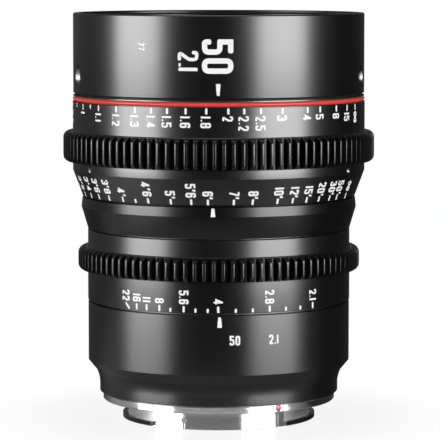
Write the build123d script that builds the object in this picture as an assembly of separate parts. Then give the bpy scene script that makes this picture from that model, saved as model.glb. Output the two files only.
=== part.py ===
from build123d import *
import os
from math import asin, atan2, cos, degrees, pi, radians, sin, sqrt, tan

# Cinema prime lens that stands on its bayonet. Lengths are millimetres, angles degrees.
# The origin is the centre of the mount's register face, and +Z points to the front.
# Azimuth 0 is the side of the index marks (-Y), and azimuth grows towards +X.

# Clearances shared by all pieces
RUN_GAP = 0.06
PIN_GAP = 0.08
CLEAR = 0.3
RING_GAP = 0.3
GLIDE_GAP = 0.05
CUT = 1.0
EDGE = 0.2

# Focus and iris movement, from the rest pose with 1.9 m and T4 at the index marks
FOCUS_LEAD = 7.56
FOCUS_TO_INFINITY = 66.5
FOCUS_TO_CLOSE = 233.5
SLOT_STRETCHES = 3
IRIS_TO_OPEN = 43.8
IRIS_TO_CLOSED = 41.0

# Bayonet mount: the throat drives the rings around it
THROAT_R = 22.6
NECK_RING_WALL = 2.4
GUIDE_RISE = 0.6
LUG_RISE = 1.0
FLANGE_RISE = 5.4
FLANGE_T = 2.0
FLANGE_EDGE = 0.25
LUG_T = 1.2
LUG_RAISE = 0.3
BAYONET_H = 5.4
LUG_SECTORS = ((-103.6, -43.6), (43.3, 103.3), (155.0, 205.0))
GUIDE_SECTOR = (-43.6, 37.0)
STOP_SECTOR = (38.6, 42.0)
STOP_PIN_R = 0.8
STOP_PIN_L = 3.0
STOP_PIN_DROP = 2.9
STOP_PIN_AZIMUTH = -21.6
STOP_NOTCH_W = 0.7
STOP_NOTCH_DEPTH = 0.35
LOCK_HOLE_R = 1.5
LOCK_HOLE_DEPTH = 1.4
LOCK_HOLE_AZIMUTH = 128.0
DOT_R = 0.78
DOT_DEPTH = 0.8
DOT_Z = 1.12
DOT_PROUD = 0.03
DOT_AZIMUTH = 30.1
SHIM_T = 0.15
SHIM_MARGIN = 0.5

# Mount screws, countersunk from the rear
SCREW_R = 1.0
SCREW_HEAD_R = 1.9
SCREW_HEAD_T = 0.9
SCREW_SINK = 0.15
SCREW_L = 6.5
SCREW_SLOT_W = 0.5
SCREW_SLOT_DEPTH = 0.5
SCREW_AZIMUTHS = (20.0, 110.0, 200.0, 290.0)

# Rear light baffle in the throat
BAFFLE_WALL = 0.8
BAFFLE_RECESS = 0.4

# Front barrel: the filter thread drives the barrel and the main tube inside it
FILTER_R = 38.1
FILTER_L = 5.0
FILTER_RIM = 1.9
FILTER_STEP = 1.5
FRONT_WALL = 6.0
FRONT_H = 21.6
FRONT_SEAT_L = 11.1
FRONT_EDGE = 0.35
TRIM_H = 2.6
TRIM_LIP = 0.6
TRIM_LAP = 0.8
BARREL_SCREW_R = 1.5
BARREL_SCREW_SINK = 0.6
BARREL_SCREW_Z = 3.8
BARREL_SCREW_AZIMUTHS = (-73.0, 75.0, 180.0)
SOCKET_SHARE = 0.55

# Main tube that joins the rear barrel to the front barrel
TUBE_WALL = 1.6

# Rear barrel with its narrower neck
REAR_WALL = 2.05
REAR_FLOOR_T = 9.85
NECK_OVERHANG = 0.92
NECK_CHAMFER = 0.25
NECK_H = 3.25
FLARE_RISE = 3.0
FLARE_OUT = 0.98
FLARE_SHARES = (0.35, 0.62)
BEVEL_RISE = 2.6
REAR_STRAIGHT_H = 16.2

# Iris ring and its gear
IRIS_SLEEVE_T = 1.24
IRIS_BAND_T = 0.83
IRIS_BAND_H = 8.55
IRIS_CLAMP_H = 4.95
IRIS_CLAMP_T = 0.8
IRIS_GEAR_W = 6.2
GEAR_MODULE = 0.8
GEAR_ANGLE = 20.0
IRIS_GEAR_RIM = 1.7
FOCUS_GEAR_RIM = 1.8
GEAR_END = 1.9
GEAR_END_SHARES = ((0.0, 0.0), (0.7, 0.3), (1.0, 1.0))
DEDENDUM_SHARE = 1.25
IRIS_GEAR_PHASE = 1.82
FOCUS_GEAR_PHASE = -1.47
DRIVE_PIN_R = 1.0
DRIVE_PIN_AZIMUTH = 180.0

# Index ring between the iris ring and the focus ring
INDEX_CONE_H = 5.9
INDEX_CONE_OUT = 1.75
INDEX_BASE_T = 2.1
INDEX_BAND_H = 2.7
INDEX_BAND_IN = 0.25

# Focus ring, its gear and the rings that clamp it
CAM_SLEEVE_T = 2.34
CAM_SLEEVE_INSET = 0.4
FOCUS_SLEEVE_T = 2.8
FOCUS_FOOT_T = 1.17
FOCUS_CONE_H = 7.1
FOCUS_BAND_H = 2.45
FOCUS_BAND_T = 0.95
FOCUS_GEAR_W = 8.2
METRE_H = 8.15
METRE_T = 0.97
ACCENT_H = 1.3
ACCENT_T = 0.62
ACCENT_BULGE = 0.3
END_RING_H = 1.0
END_RING_T = 0.8
FOCUS_SCREW_R = 0.7
FOCUS_SCREW_RISE = 0.8
FOCUS_SCREW_SINK = 0.25
FOCUS_SCREW_AZIMUTHS = (-60.0, 60.0, 180.0)
FOLLOWER_AZIMUTHS = (90.0, 270.0)
FOLLOWER_R = 1.2
FOLLOWER_ROOT = 2.8
GLIDE_WALL = 1.9

# Optical unit: cell walls and the glass, stacked from the iris outwards
CHAMBER_WALL = 1.34
CAM_WALL = 1.34
CAM_PLATE_T = 1.0
PLATE_LIFT = 1.45
BLADE_BASE_DROP = 1.55
PEDESTAL_GAP = 0.4
APERTURE_LIP_T = 2.0
APERTURE_LIP = 0.7
WEB_T = 4.3
SKIRT_WALL = 1.54
SKIRT_SHELTER = 0.5
SNOUT_GAP = 0.8
SNOUT_WALL = 2.0
SNOUT_LIP = 1.0
REAR_GLASS_RIM = 2.5
REAR_SHOULDER_T = 2.6
FOURTH_T = 7.0
REAR_SPACER_T = 5.0
FIFTH_T = 7.5
REAR_INNER_SPACER_T = 6.5
REAR_ELEMENT_T = 6.5
REAR_RETAINER_T = 2.5
COVER_T = 1.5
COVER_LIFT = 0.3
COVER_LIP = 1.5
SPIGOT_L = 2.6
FRONT_CELL_BASE_T = 4.0
FRONT_CELL_LIP = 3.5
THIRD_STEP = 6.5
THIRD_RIM = 2.0
THIRD_T = 8.0
THIRD_RETAINER_T = 3.0
FRONT_SHOULDER_T = 3.0
FRONT_CELL_WALL = 3.84
FRONT_GLASS_RIM = 2.5
SECOND_T = 7.0
FRONT_SPACER_T = 6.0
FRONT_ELEMENT_T = 8.0
FRONT_RETAINER_T = 3.0
FRONT_RELIEF_T = 0.8
FRONT_RELIEF_MARGIN = 3.0

# How far each glass surface bulges at its centre, rear surface first
FRONT_SAGS = (-1.0, 4.0)
SECOND_SAGS = (-2.0, 5.0)
THIRD_SAGS = (-4.0, 3.0)
FOURTH_SAGS = (1.0, -4.0)
FIFTH_SAGS = (3.0, 3.0)
REAR_SAGS = (1.5, 2.0)

# Iris blades
BLADE_COUNT = 8
BLADE_T = 0.12
BLADE_PITCH = 0.3
BLADE_FIRST_LIFT = 0.15
OPEN_STEP = 3.0
CLOSED_R = 1.3
PIVOT_INSET = 4.2
LEVER_L = 7.0
PIVOT_PIN_R = 0.5
CAM_PIN_R = 0.4
EAR_MARGIN = 0.7
BLADE_SPACE = 0.38
BLADE_START_ANGLE = -2.5
BLADE_END_ANGLE = 106.0
CAM_SLOT_STEPS = 12
BLADE_SLOT_LAND = 0.9

# Heights worked out from the rear to the front
REAR_Z = FLANGE_T + SHIM_T
FLARE_Z = REAR_Z + NECK_H
BEVEL_Z = FLARE_Z + FLARE_RISE
REAR_BARREL_Z = BEVEL_Z + BEVEL_RISE
REAR_TOP = REAR_BARREL_Z + REAR_STRAIGHT_H
TUBE_LOW = REAR_Z + REAR_FLOOR_T
IRIS_LOW = REAR_TOP + RING_GAP
IRIS_GEAR_LOW = IRIS_LOW + IRIS_BAND_H
IRIS_CLAMP_LOW = IRIS_GEAR_LOW + IRIS_GEAR_W
IRIS_TOP = IRIS_CLAMP_LOW + IRIS_CLAMP_H
INDEX_LOW = IRIS_TOP + RING_GAP
INDEX_BAND_LOW = INDEX_LOW + INDEX_CONE_H
INDEX_TOP = INDEX_BAND_LOW + INDEX_BAND_H
FOCUS_LOW = INDEX_TOP + RING_GAP
FOCUS_BAND_LOW = FOCUS_LOW + FOCUS_CONE_H
FOCUS_GEAR_LOW = FOCUS_BAND_LOW + FOCUS_BAND_H
METRE_LOW = FOCUS_GEAR_LOW + FOCUS_GEAR_W
ACCENT_LOW = METRE_LOW + METRE_H
END_RING_LOW = ACCENT_LOW + ACCENT_H
FOCUS_TOP = END_RING_LOW + END_RING_H
FRONT_LOW = FOCUS_TOP + RING_GAP
FRONT_TOP = FRONT_LOW + FRONT_H
TUBE_TOP = FRONT_LOW + FRONT_SEAT_L
SLEEVE_LOW = FOCUS_LOW + CAM_SLEEVE_INSET
SLEEVE_TOP = END_RING_LOW + CAM_SLEEVE_INSET

# Radii of the mount, worked out from its throat
NECK_RING_R = THROAT_R + NECK_RING_WALL
GUIDE_R = NECK_RING_R + GUIDE_RISE
LUG_R = GUIDE_R + LUG_RISE
FLANGE_R = LUG_R + FLANGE_RISE
SCREW_CIRCLE_R = (FLANGE_R + LUG_R) / 2
NECK_R = FLANGE_R + NECK_OVERHANG
SNOUT_R = THROAT_R - BAFFLE_WALL - SNOUT_GAP
REAR_GLASS_R = SNOUT_R - SNOUT_WALL
REAR_CLEAR_R = REAR_GLASS_R - REAR_GLASS_RIM
OPEN_R = REAR_CLEAR_R - OPEN_STEP
APERTURE_LIP_R = OPEN_R + APERTURE_LIP
COVER_BORE_R = OPEN_R + COVER_LIP

# Radii of the barrels and rings, worked out from the filter thread
FRONT_R = FILTER_R + FILTER_RIM
FRONT_BORE_R = FILTER_R - FILTER_STEP
TUBE_R = FRONT_R - FRONT_WALL
TUBE_BORE = TUBE_R - TUBE_WALL
REAR_BARREL_R = TUBE_R + REAR_WALL
RUN_R = TUBE_R + RUN_GAP
IRIS_SEAT_R = RUN_R + IRIS_SLEEVE_T
IRIS_BAND_R = IRIS_SEAT_R + IRIS_BAND_T
INDEX_BASE_R = TUBE_R + INDEX_BASE_T
INDEX_R = INDEX_BASE_R + INDEX_CONE_OUT
CAM_SLEEVE_R = RUN_R + CAM_SLEEVE_T
FOCUS_SEAT_R = CAM_SLEEVE_R + FOCUS_SLEEVE_T
FOCUS_FOOT_R = CAM_SLEEVE_R + FOCUS_FOOT_T
FOCUS_BAND_R = FOCUS_SEAT_R + FOCUS_BAND_T
METRE_R = FOCUS_SEAT_R + METRE_T
CELL_R = TUBE_BORE - RUN_GAP
CHAMBER_R = CELL_R - CHAMBER_WALL
CAM_RING_R = CHAMBER_R - RUN_GAP
CAM_RING_BORE = CAM_RING_R - CAM_WALL
PEDESTAL_R = CAM_RING_BORE - PEDESTAL_GAP
FRONT_GLASS_R = CELL_R - FRONT_CELL_WALL
FRONT_GLASS_CLEAR_R = FRONT_GLASS_R - FRONT_GLASS_RIM
THIRD_R = FRONT_GLASS_R - THIRD_STEP
THIRD_CLEAR_R = THIRD_R - THIRD_RIM
FRONT_CLEAR_R = THIRD_CLEAR_R - FRONT_CELL_LIP

# Travel of the optical unit each way from rest
TRAVEL_IN = FOCUS_LEAD * FOCUS_TO_INFINITY / 360
TRAVEL_OUT = FOCUS_LEAD * FOCUS_TO_CLOSE / 360

# Heights inside the optical unit at rest
PIN_Z = IRIS_GEAR_LOW + IRIS_GEAR_W / 2
PIN_REACH_LOW = PIN_Z - TRAVEL_OUT - DRIVE_PIN_R - CLEAR
PIN_REACH_HIGH = PIN_Z + TRAVEL_IN + DRIVE_PIN_R + CLEAR
GROOVE_Z = PIN_REACH_LOW - CLEAR - CLEAR
BASE_Z = PIN_Z - BLADE_BASE_DROP
PLATE_LOW = PIN_Z + PLATE_LIFT
PLATE_HIGH = PLATE_LOW + CAM_PLATE_T
COVER_LOW = PLATE_HIGH + COVER_LIFT
COVER_HIGH = COVER_LOW + COVER_T
REAR_CELL_TOP = COVER_HIGH + SPIGOT_L
WEB_Z = GROOVE_Z - WEB_T
SHOULDER_Z = BASE_Z - APERTURE_LIP_T - REAR_SHOULDER_T
FOURTH_Z = SHOULDER_Z - FOURTH_T
REAR_SPACER_Z = FOURTH_Z - REAR_SPACER_T
FIFTH_Z = REAR_SPACER_Z - FIFTH_T
REAR_INNER_SPACER_Z = FIFTH_Z - REAR_INNER_SPACER_T
REAR_ELEMENT_Z = REAR_INNER_SPACER_Z - REAR_ELEMENT_T
REAR_RETAINER_Z = REAR_ELEMENT_Z - REAR_RETAINER_T
SNOUT_Z = REAR_RETAINER_Z - SNOUT_LIP
SKIRT_Z = TUBE_LOW + TRAVEL_IN + SKIRT_SHELTER
THIRD_Z = REAR_CELL_TOP + FRONT_CELL_BASE_T
THIRD_RETAINER_Z = THIRD_Z + THIRD_T
SECOND_Z = THIRD_RETAINER_Z + THIRD_RETAINER_T + FRONT_SHOULDER_T
FRONT_SPACER_Z = SECOND_Z + SECOND_T
FRONT_ELEMENT_Z = FRONT_SPACER_Z + FRONT_SPACER_T
FRONT_RETAINER_Z = FRONT_ELEMENT_Z + FRONT_ELEMENT_T
CELL_TOP = FRONT_RETAINER_Z + FRONT_RETAINER_T
FOLLOWER_Z = (SLEEVE_LOW + SLEEVE_TOP + TRAVEL_IN - TRAVEL_OUT) / 2

# Blade geometry: the swing from open to closed, and the lever's angle when open
PIVOT_R = PEDESTAL_R - PIVOT_INSET
SWING = degrees(2 * asin((OPEN_R - CLOSED_R) / (2 * PIVOT_R)))
IRIS_THROW = IRIS_TO_OPEN + IRIS_TO_CLOSED
BLADE_RATIO = SWING / IRIS_THROW
LEVER_OPEN = -90 - SWING / 2
CAM_PIN_OPEN_R = sqrt(
    PIVOT_R**2 + LEVER_L**2 + 2 * PIVOT_R * LEVER_L * cos(radians(LEVER_OPEN)))
BLADE_OUT_R = CAM_PIN_OPEN_R - CAM_PIN_R - BLADE_SPACE


def lathe(points, turn=360.0):
    """Turns an outline of (radius, height) points about the lens axis."""
    outline = Plane.XZ * make_face(Polyline(*points, close=True))
    return revolve(outline, Axis.Z, turn)


def tube(inner, outer, low, high):
    """A plain ring."""
    return lathe([(inner, low), (outer, low), (outer, high), (inner, high)])


def sector(inner, outer, low, high, start, end):
    """The part of a plain ring between two azimuths."""
    points = [(inner, low), (outer, low), (outer, high), (inner, high)]
    return Rot(0, 0, start - 90) * lathe(points, end - start)


def radial_pin(radius, inner, outer, height, azimuth):
    """A round pin along a radius of the lens."""
    pin = Cylinder(radius, outer - inner, align=(Align.CENTER, Align.CENTER, Align.MIN))
    return Rot(0, 0, azimuth - 90) * Pos(inner, 0, height) * Rot(0, 90, 0) * pin


def radial_slot(width, inner, outer, low, high, azimuth):
    """A straight slot cutter along the axis, through a wall."""
    block = Box(outer - inner, width, high - low, align=(Align.MIN, Align.CENTER, Align.MIN))
    return Rot(0, 0, azimuth - 90) * Pos(inner, 0, low) * block


def gear_ring(seat, rim, width, low, phase):
    """A ring with straight teeth of the named module and rounded tooth ends."""
    dedendum = DEDENDUM_SHARE * GEAR_MODULE
    teeth = round(2 * (seat + rim + dedendum) / GEAR_MODULE)
    pitch = GEAR_MODULE * teeth / 2
    root, tip = pitch - dedendum, pitch + GEAR_MODULE
    slope = tan(radians(GEAR_ANGLE))
    half = degrees(GEAR_MODULE / pitch) * pi / 4
    root_half = half + degrees((pitch - root) * slope / root)
    tip_half = half - degrees((tip - pitch) * slope / tip)
    corners = []
    for tooth in range(teeth):
        centre = phase - 90 + 360 * tooth / teeth
        for radius, turn in ((root, -root_half), (tip, -tip_half), (tip, tip_half), (root, root_half)):
            angle = radians(centre + turn)
            corners.append((radius * cos(angle), radius * sin(angle)))
    blank = Pos(0, 0, low) * extrude(make_face(Polyline(*corners, close=True)), width)
    high = low + width
    rounding = [(tip - GEAR_END * (1 - out), low + GEAR_END * up) for out, up in GEAR_END_SHARES]
    mirrored = [(radius, low + high - height) for radius, height in reversed(rounding)]
    waist = [(tip + CUT, low + GEAR_END + CUT), (tip + CUT, high - GEAR_END - CUT)]
    envelope = lathe([(seat, low)] + rounding + waist + mirrored + [(seat, high)])
    return blank & envelope


def bayonet_mount():
    """Chrome flange with its barrel, lugs, stop block and screw holes."""
    body = lathe([
        (THROAT_R, -BAYONET_H), (NECK_RING_R - EDGE, -BAYONET_H), (NECK_RING_R, EDGE - BAYONET_H),
        (NECK_RING_R, 0), (FLANGE_R - FLANGE_EDGE, 0), (FLANGE_R, FLANGE_EDGE),
        (FLANGE_R, FLANGE_T - FLANGE_EDGE), (FLANGE_R - FLANGE_EDGE, FLANGE_T), (THROAT_R, FLANGE_T)])
    lug_low = LUG_RAISE - BAYONET_H
    for start, end in LUG_SECTORS:
        body += sector(THROAT_R + CUT, LUG_R, lug_low, lug_low + LUG_T, start, end)
    body += sector(THROAT_R + CUT, GUIDE_R, EDGE - BAYONET_H, 0, *GUIDE_SECTOR)
    body += sector(THROAT_R + CUT, LUG_R - EDGE, lug_low, 0, *STOP_SECTOR)
    seat = GUIDE_R - STOP_NOTCH_DEPTH
    body -= radial_slot(STOP_NOTCH_W, seat, LUG_R, -BAYONET_H, -STOP_PIN_DROP, STOP_PIN_AZIMUTH)
    body -= radial_pin(STOP_PIN_R, GUIDE_R - STOP_PIN_L, LUG_R, -STOP_PIN_DROP, STOP_PIN_AZIMUTH)
    body -= radial_pin(DOT_R, FLANGE_R - DOT_DEPTH, FLANGE_R + CUT, DOT_Z, DOT_AZIMUTH)
    turn = radians(LOCK_HOLE_AZIMUTH - 90)
    lock_hole = Cylinder(LOCK_HOLE_R, LOCK_HOLE_DEPTH, align=(Align.CENTER, Align.CENTER, Align.MIN))
    body -= Pos(SCREW_CIRCLE_R * cos(turn), SCREW_CIRCLE_R * sin(turn), 0) * lock_hole
    for place in mount_screw_places():
        body -= place * mount_screw_form()
        body -= place * Cylinder(SCREW_HEAD_R, 2 * SCREW_SINK)
    return body


def mount_screw_places():
    """Where the mount screws stand on the register face."""
    return [Rot(0, 0, azimuth - 90) * Pos(SCREW_CIRCLE_R, 0, 0) for azimuth in SCREW_AZIMUTHS]


def mount_screw_form():
    """A countersunk screw without its driving slots."""
    head_top = SCREW_SINK + SCREW_HEAD_T
    return lathe([(0, SCREW_SINK), (SCREW_HEAD_R, SCREW_SINK), (SCREW_R, head_top),
                  (SCREW_R, SCREW_L), (0, SCREW_L)])


def mount_screws():
    """Four cross-slotted countersunk screws."""
    screw = mount_screw_form()
    slot = Box(2 * SCREW_R, SCREW_SLOT_W, 2 * SCREW_SLOT_DEPTH)
    screw -= Pos(0, 0, SCREW_SINK) * slot
    screw -= Pos(0, 0, SCREW_SINK) * Rot(0, 0, 90) * slot
    return [place * screw for place in mount_screw_places()]


def bayonet_stop_pin():
    """Pin that ends the turn of the bayonet."""
    return radial_pin(STOP_PIN_R, GUIDE_R - STOP_PIN_L, GUIDE_R, -STOP_PIN_DROP, STOP_PIN_AZIMUTH)


def alignment_dot():
    """Enamel dot in the edge of the flange."""
    return radial_pin(DOT_R, FLANGE_R - DOT_DEPTH, FLANGE_R + DOT_PROUD, DOT_Z, DOT_AZIMUTH)


def mount_shim():
    """Thin ring that sets the flange distance."""
    ring = tube(THROAT_R + SHIM_MARGIN, NECK_R - NECK_CHAMFER - SHIM_MARGIN, FLANGE_T, REAR_Z)
    for place in mount_screw_places():
        ring -= place * Cylinder(SCREW_R, 2 * SCREW_L)
    return ring


def rear_baffle():
    """Black sleeve that lines the throat."""
    return tube(THROAT_R - BAFFLE_WALL, THROAT_R, BAFFLE_RECESS - BAYONET_H, FLANGE_T)


def rear_barrel():
    """Fixed rear barrel: neck, flare, bevel and the seat of the main tube."""
    out, up = FLARE_SHARES
    flare = [(NECK_R, FLARE_Z), (NECK_R + FLARE_OUT * out, FLARE_Z + FLARE_RISE * up),
             (NECK_R + FLARE_OUT, BEVEL_Z)]
    edges = Polyline(flare[2], (REAR_BARREL_R, REAR_BARREL_Z), (REAR_BARREL_R, REAR_TOP - EDGE),
                     (REAR_BARREL_R - EDGE, REAR_TOP), (TUBE_R, REAR_TOP), (TUBE_R, TUBE_LOW),
                     (THROAT_R, TUBE_LOW), (THROAT_R, REAR_Z), (NECK_R - NECK_CHAMFER, REAR_Z),
                     (NECK_R, REAR_Z + NECK_CHAMFER), flare[0])
    outline = make_face(edges + ThreePointArc(*flare))
    body = revolve(Plane.XZ * outline, Axis.Z)
    for place in mount_screw_places():
        body -= place * Cylinder(SCREW_R, 2 * SCREW_L)
    return body


def main_tube():
    """Guide tube with a cross slot for the iris pin and straight slots for the followers."""
    body = tube(TUBE_BORE, TUBE_R, TUBE_LOW, TUBE_TOP)
    margin = degrees((DRIVE_PIN_R + PIN_GAP) / TUBE_BORE)
    start = DRIVE_PIN_AZIMUTH - IRIS_TO_OPEN - margin
    end = DRIVE_PIN_AZIMUTH + IRIS_TO_CLOSED + margin
    half = DRIVE_PIN_R + PIN_GAP
    body -= sector(TUBE_BORE - CUT, TUBE_R + CUT, PIN_Z - half, PIN_Z + half, start, end)
    reach = FOLLOWER_R + CLEAR
    low, high = FOLLOWER_Z - TRAVEL_IN - reach, FOLLOWER_Z + TRAVEL_OUT + reach
    width = 2 * (FOLLOWER_R + PIN_GAP)
    for azimuth in FOLLOWER_AZIMUTHS:
        body -= radial_slot(width, TUBE_BORE - CUT, TUBE_R + CUT, low, high, azimuth)
    return body


def iris_ring():
    """Iris sleeve with the band that carries the T scale."""
    body = lathe([
        (RUN_R, IRIS_LOW), (IRIS_BAND_R - EDGE, IRIS_LOW), (IRIS_BAND_R, IRIS_LOW + EDGE),
        (IRIS_BAND_R, IRIS_GEAR_LOW), (IRIS_SEAT_R, IRIS_GEAR_LOW), (IRIS_SEAT_R, IRIS_TOP),
        (RUN_R, IRIS_TOP)])
    return body - radial_pin(DRIVE_PIN_R, TUBE_R - CUT, IRIS_SEAT_R + CUT, PIN_Z, DRIVE_PIN_AZIMUTH)


def iris_gear():
    """Gear ring of the iris."""
    return gear_ring(IRIS_SEAT_R, IRIS_GEAR_RIM, IRIS_GEAR_W, IRIS_GEAR_LOW, IRIS_GEAR_PHASE)


def iris_clamp_ring():
    """Ring that holds the iris gear against its shoulder."""
    outer = IRIS_SEAT_R + IRIS_CLAMP_T
    return lathe([
        (IRIS_SEAT_R, IRIS_CLAMP_LOW), (outer, IRIS_CLAMP_LOW), (outer, IRIS_TOP - EDGE),
        (outer - EDGE, IRIS_TOP), (IRIS_SEAT_R, IRIS_TOP)])


def iris_drive_pin():
    """Pin from the iris sleeve through the tube and the cell into the cam ring's fork."""
    return radial_pin(DRIVE_PIN_R, CAM_RING_BORE, IRIS_SEAT_R - EDGE, PIN_Z, DRIVE_PIN_AZIMUTH)


def index_ring():
    """Fixed ring that widens from the iris ring to the focus ring."""
    top = INDEX_R - INDEX_BAND_IN
    return lathe([
        (TUBE_R, INDEX_LOW), (INDEX_BASE_R, INDEX_LOW), (INDEX_R, INDEX_BAND_LOW),
        (top, INDEX_TOP - EDGE), (top - EDGE, INDEX_TOP), (TUBE_R, INDEX_TOP)])


def focus_ring():
    """Focus sleeve with the cone of the feet scale."""
    body = lathe([
        (CAM_SLEEVE_R, FOCUS_LOW), (FOCUS_FOOT_R - EDGE, FOCUS_LOW), (FOCUS_FOOT_R, FOCUS_LOW + EDGE),
        (FOCUS_BAND_R, FOCUS_BAND_LOW), (FOCUS_BAND_R, FOCUS_GEAR_LOW), (FOCUS_SEAT_R, FOCUS_GEAR_LOW),
        (FOCUS_SEAT_R, END_RING_LOW), (CAM_SLEEVE_R, END_RING_LOW)])
    for azimuth in FOCUS_SCREW_AZIMUTHS:
        body -= radial_pin(FOCUS_SCREW_R, CAM_SLEEVE_R - CUT, FOCUS_BAND_R + CUT, focus_screw_z(), azimuth)
    return body


def focus_screw_z():
    """Height of the small set screws below the focus gear."""
    return FOCUS_BAND_LOW + FOCUS_SCREW_RISE


def focus_ring_screws():
    """Set screws that hold the focus ring on the cam sleeve."""
    outer = FOCUS_BAND_R - FOCUS_SCREW_SINK
    return [set_screw(FOCUS_SCREW_R, CAM_SLEEVE_R, outer, focus_screw_z(), azimuth)
            for azimuth in FOCUS_SCREW_AZIMUTHS]


def set_screw(radius, inner, outer, height, azimuth):
    """A headless screw with a hexagon socket."""
    body = radial_pin(radius, inner, outer, height, azimuth)
    depth = radius
    hexagon = extrude(RegularPolygon(radius * SOCKET_SHARE, 6), depth + CUT)
    place = Rot(0, 0, azimuth - 90) * Pos(outer - depth, 0, height) * Rot(0, 90, 0)
    return body - place * hexagon


def focus_gear():
    """Gear ring of the focus."""
    return gear_ring(FOCUS_SEAT_R, FOCUS_GEAR_RIM, FOCUS_GEAR_W, FOCUS_GEAR_LOW, FOCUS_GEAR_PHASE)


def metre_ring():
    """Ring that carries the metre scale."""
    return tube(FOCUS_SEAT_R, METRE_R, METRE_LOW, ACCENT_LOW)


def accent_ring():
    """Red ring with a round outer face."""
    outer = FOCUS_SEAT_R + ACCENT_T
    crown = (outer + ACCENT_BULGE, ACCENT_LOW + ACCENT_H / 2)
    sides = Polyline((outer, END_RING_LOW), (FOCUS_SEAT_R, END_RING_LOW), (FOCUS_SEAT_R, ACCENT_LOW),
                     (outer, ACCENT_LOW))
    outline = make_face(sides + ThreePointArc((outer, ACCENT_LOW), crown, (outer, END_RING_LOW)))
    return revolve(Plane.XZ * outline, Axis.Z)


def focus_end_ring():
    """Narrow ring that clamps the accent ring and the metre ring."""
    outer = FOCUS_SEAT_R + END_RING_T
    return lathe([
        (CAM_SLEEVE_R, END_RING_LOW), (outer, END_RING_LOW), (outer, FOCUS_TOP - 2 * EDGE),
        (outer - 2 * EDGE, FOCUS_TOP), (CAM_SLEEVE_R, FOCUS_TOP)])


def cam_sleeve():
    """Sleeve of the focus ring with one helical slot for each follower."""
    body = tube(RUN_R, CAM_SLEEVE_R, SLEEVE_LOW, SLEEVE_TOP)
    middle = (RUN_R + CAM_SLEEVE_R) / 2
    width = 2 * (FOLLOWER_R + PIN_GAP)
    depth = CAM_SLEEVE_T + 2 * CUT
    rise = (TRAVEL_IN + TRAVEL_OUT) / SLOT_STRETCHES
    turn = (FOCUS_TO_INFINITY + FOCUS_TO_CLOSE) / SLOT_STRETCHES
    path = Helix(FOCUS_LEAD, rise, middle, lefthand=True)
    section = Plane(origin=path @ 0, x_dir=(1, 0, 0), z_dir=path % 0) * Rectangle(depth, width)
    stretch = sweep(section, path, is_frenet=True)
    low, high = FOLLOWER_Z - TRAVEL_IN, FOLLOWER_Z + TRAVEL_OUT
    drill = width / 2 + PIN_GAP
    for azimuth in FOLLOWER_AZIMUTHS:
        start = azimuth + FOCUS_TO_INFINITY
        for number in range(SLOT_STRETCHES):
            body -= Rot(0, 0, start - 90 - turn * number) * Pos(0, 0, low + rise * number) * stretch
        for height, end in ((low, start), (high, azimuth - FOCUS_TO_CLOSE)):
            body -= radial_pin(drill, RUN_R - CUT, CAM_SLEEVE_R + CUT, height, end)
    return body


def cam_followers():
    """Pins of the front cell that run in the straight and the helical slots."""
    inner, outer = CELL_R - FOLLOWER_ROOT, CAM_SLEEVE_R - CLEAR / 2
    return [radial_pin(FOLLOWER_R, inner, outer, FOLLOWER_Z, azimuth) for azimuth in FOLLOWER_AZIMUTHS]


def rear_glide_ring():
    """Plastic ring between the index ring and the cam sleeve."""
    return tube(TUBE_R, TUBE_R + GLIDE_WALL, INDEX_TOP, SLEEVE_LOW - GLIDE_GAP)


def front_glide_ring():
    """Plastic ring between the cam sleeve and the front barrel."""
    return tube(TUBE_R, TUBE_R + GLIDE_WALL, SLEEVE_TOP + GLIDE_GAP, FRONT_LOW)


def front_barrel():
    """Fixed front barrel with its filter thread bore."""
    thread_low = FRONT_TOP - FILTER_L
    body = lathe([
        (TUBE_R, FRONT_LOW), (FRONT_R - FRONT_EDGE, FRONT_LOW), (FRONT_R, FRONT_LOW + FRONT_EDGE),
        (FRONT_R, FRONT_TOP - FRONT_EDGE), (FRONT_R - FRONT_EDGE, FRONT_TOP), (FILTER_R, FRONT_TOP),
        (FILTER_R, thread_low), (FRONT_BORE_R, thread_low), (FRONT_BORE_R, TUBE_TOP), (TUBE_R, TUBE_TOP)])
    for azimuth in BARREL_SCREW_AZIMUTHS:
        height = FRONT_LOW + BARREL_SCREW_Z
        body -= radial_pin(BARREL_SCREW_R, TUBE_R - CUT, FRONT_R + CUT, height, azimuth)
    return body


def front_barrel_screws():
    """Set screws that hold the front barrel on the main tube."""
    outer = FRONT_R - BARREL_SCREW_SINK
    return [set_screw(BARREL_SCREW_R, TUBE_R, outer, FRONT_LOW + BARREL_SCREW_Z, azimuth)
            for azimuth in BARREL_SCREW_AZIMUTHS]


def front_trim_ring():
    """Conical ring that closes the step between the front barrel and the main tube."""
    inner = TUBE_BORE + TRIM_LAP
    return lathe([
        (inner, TUBE_TOP), (FRONT_BORE_R, TUBE_TOP), (FRONT_BORE_R, TUBE_TOP + TRIM_H),
        (FRONT_BORE_R - TRIM_LIP, TUBE_TOP + TRIM_H), (inner, TUBE_TOP + TRIM_LIP)])


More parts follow.
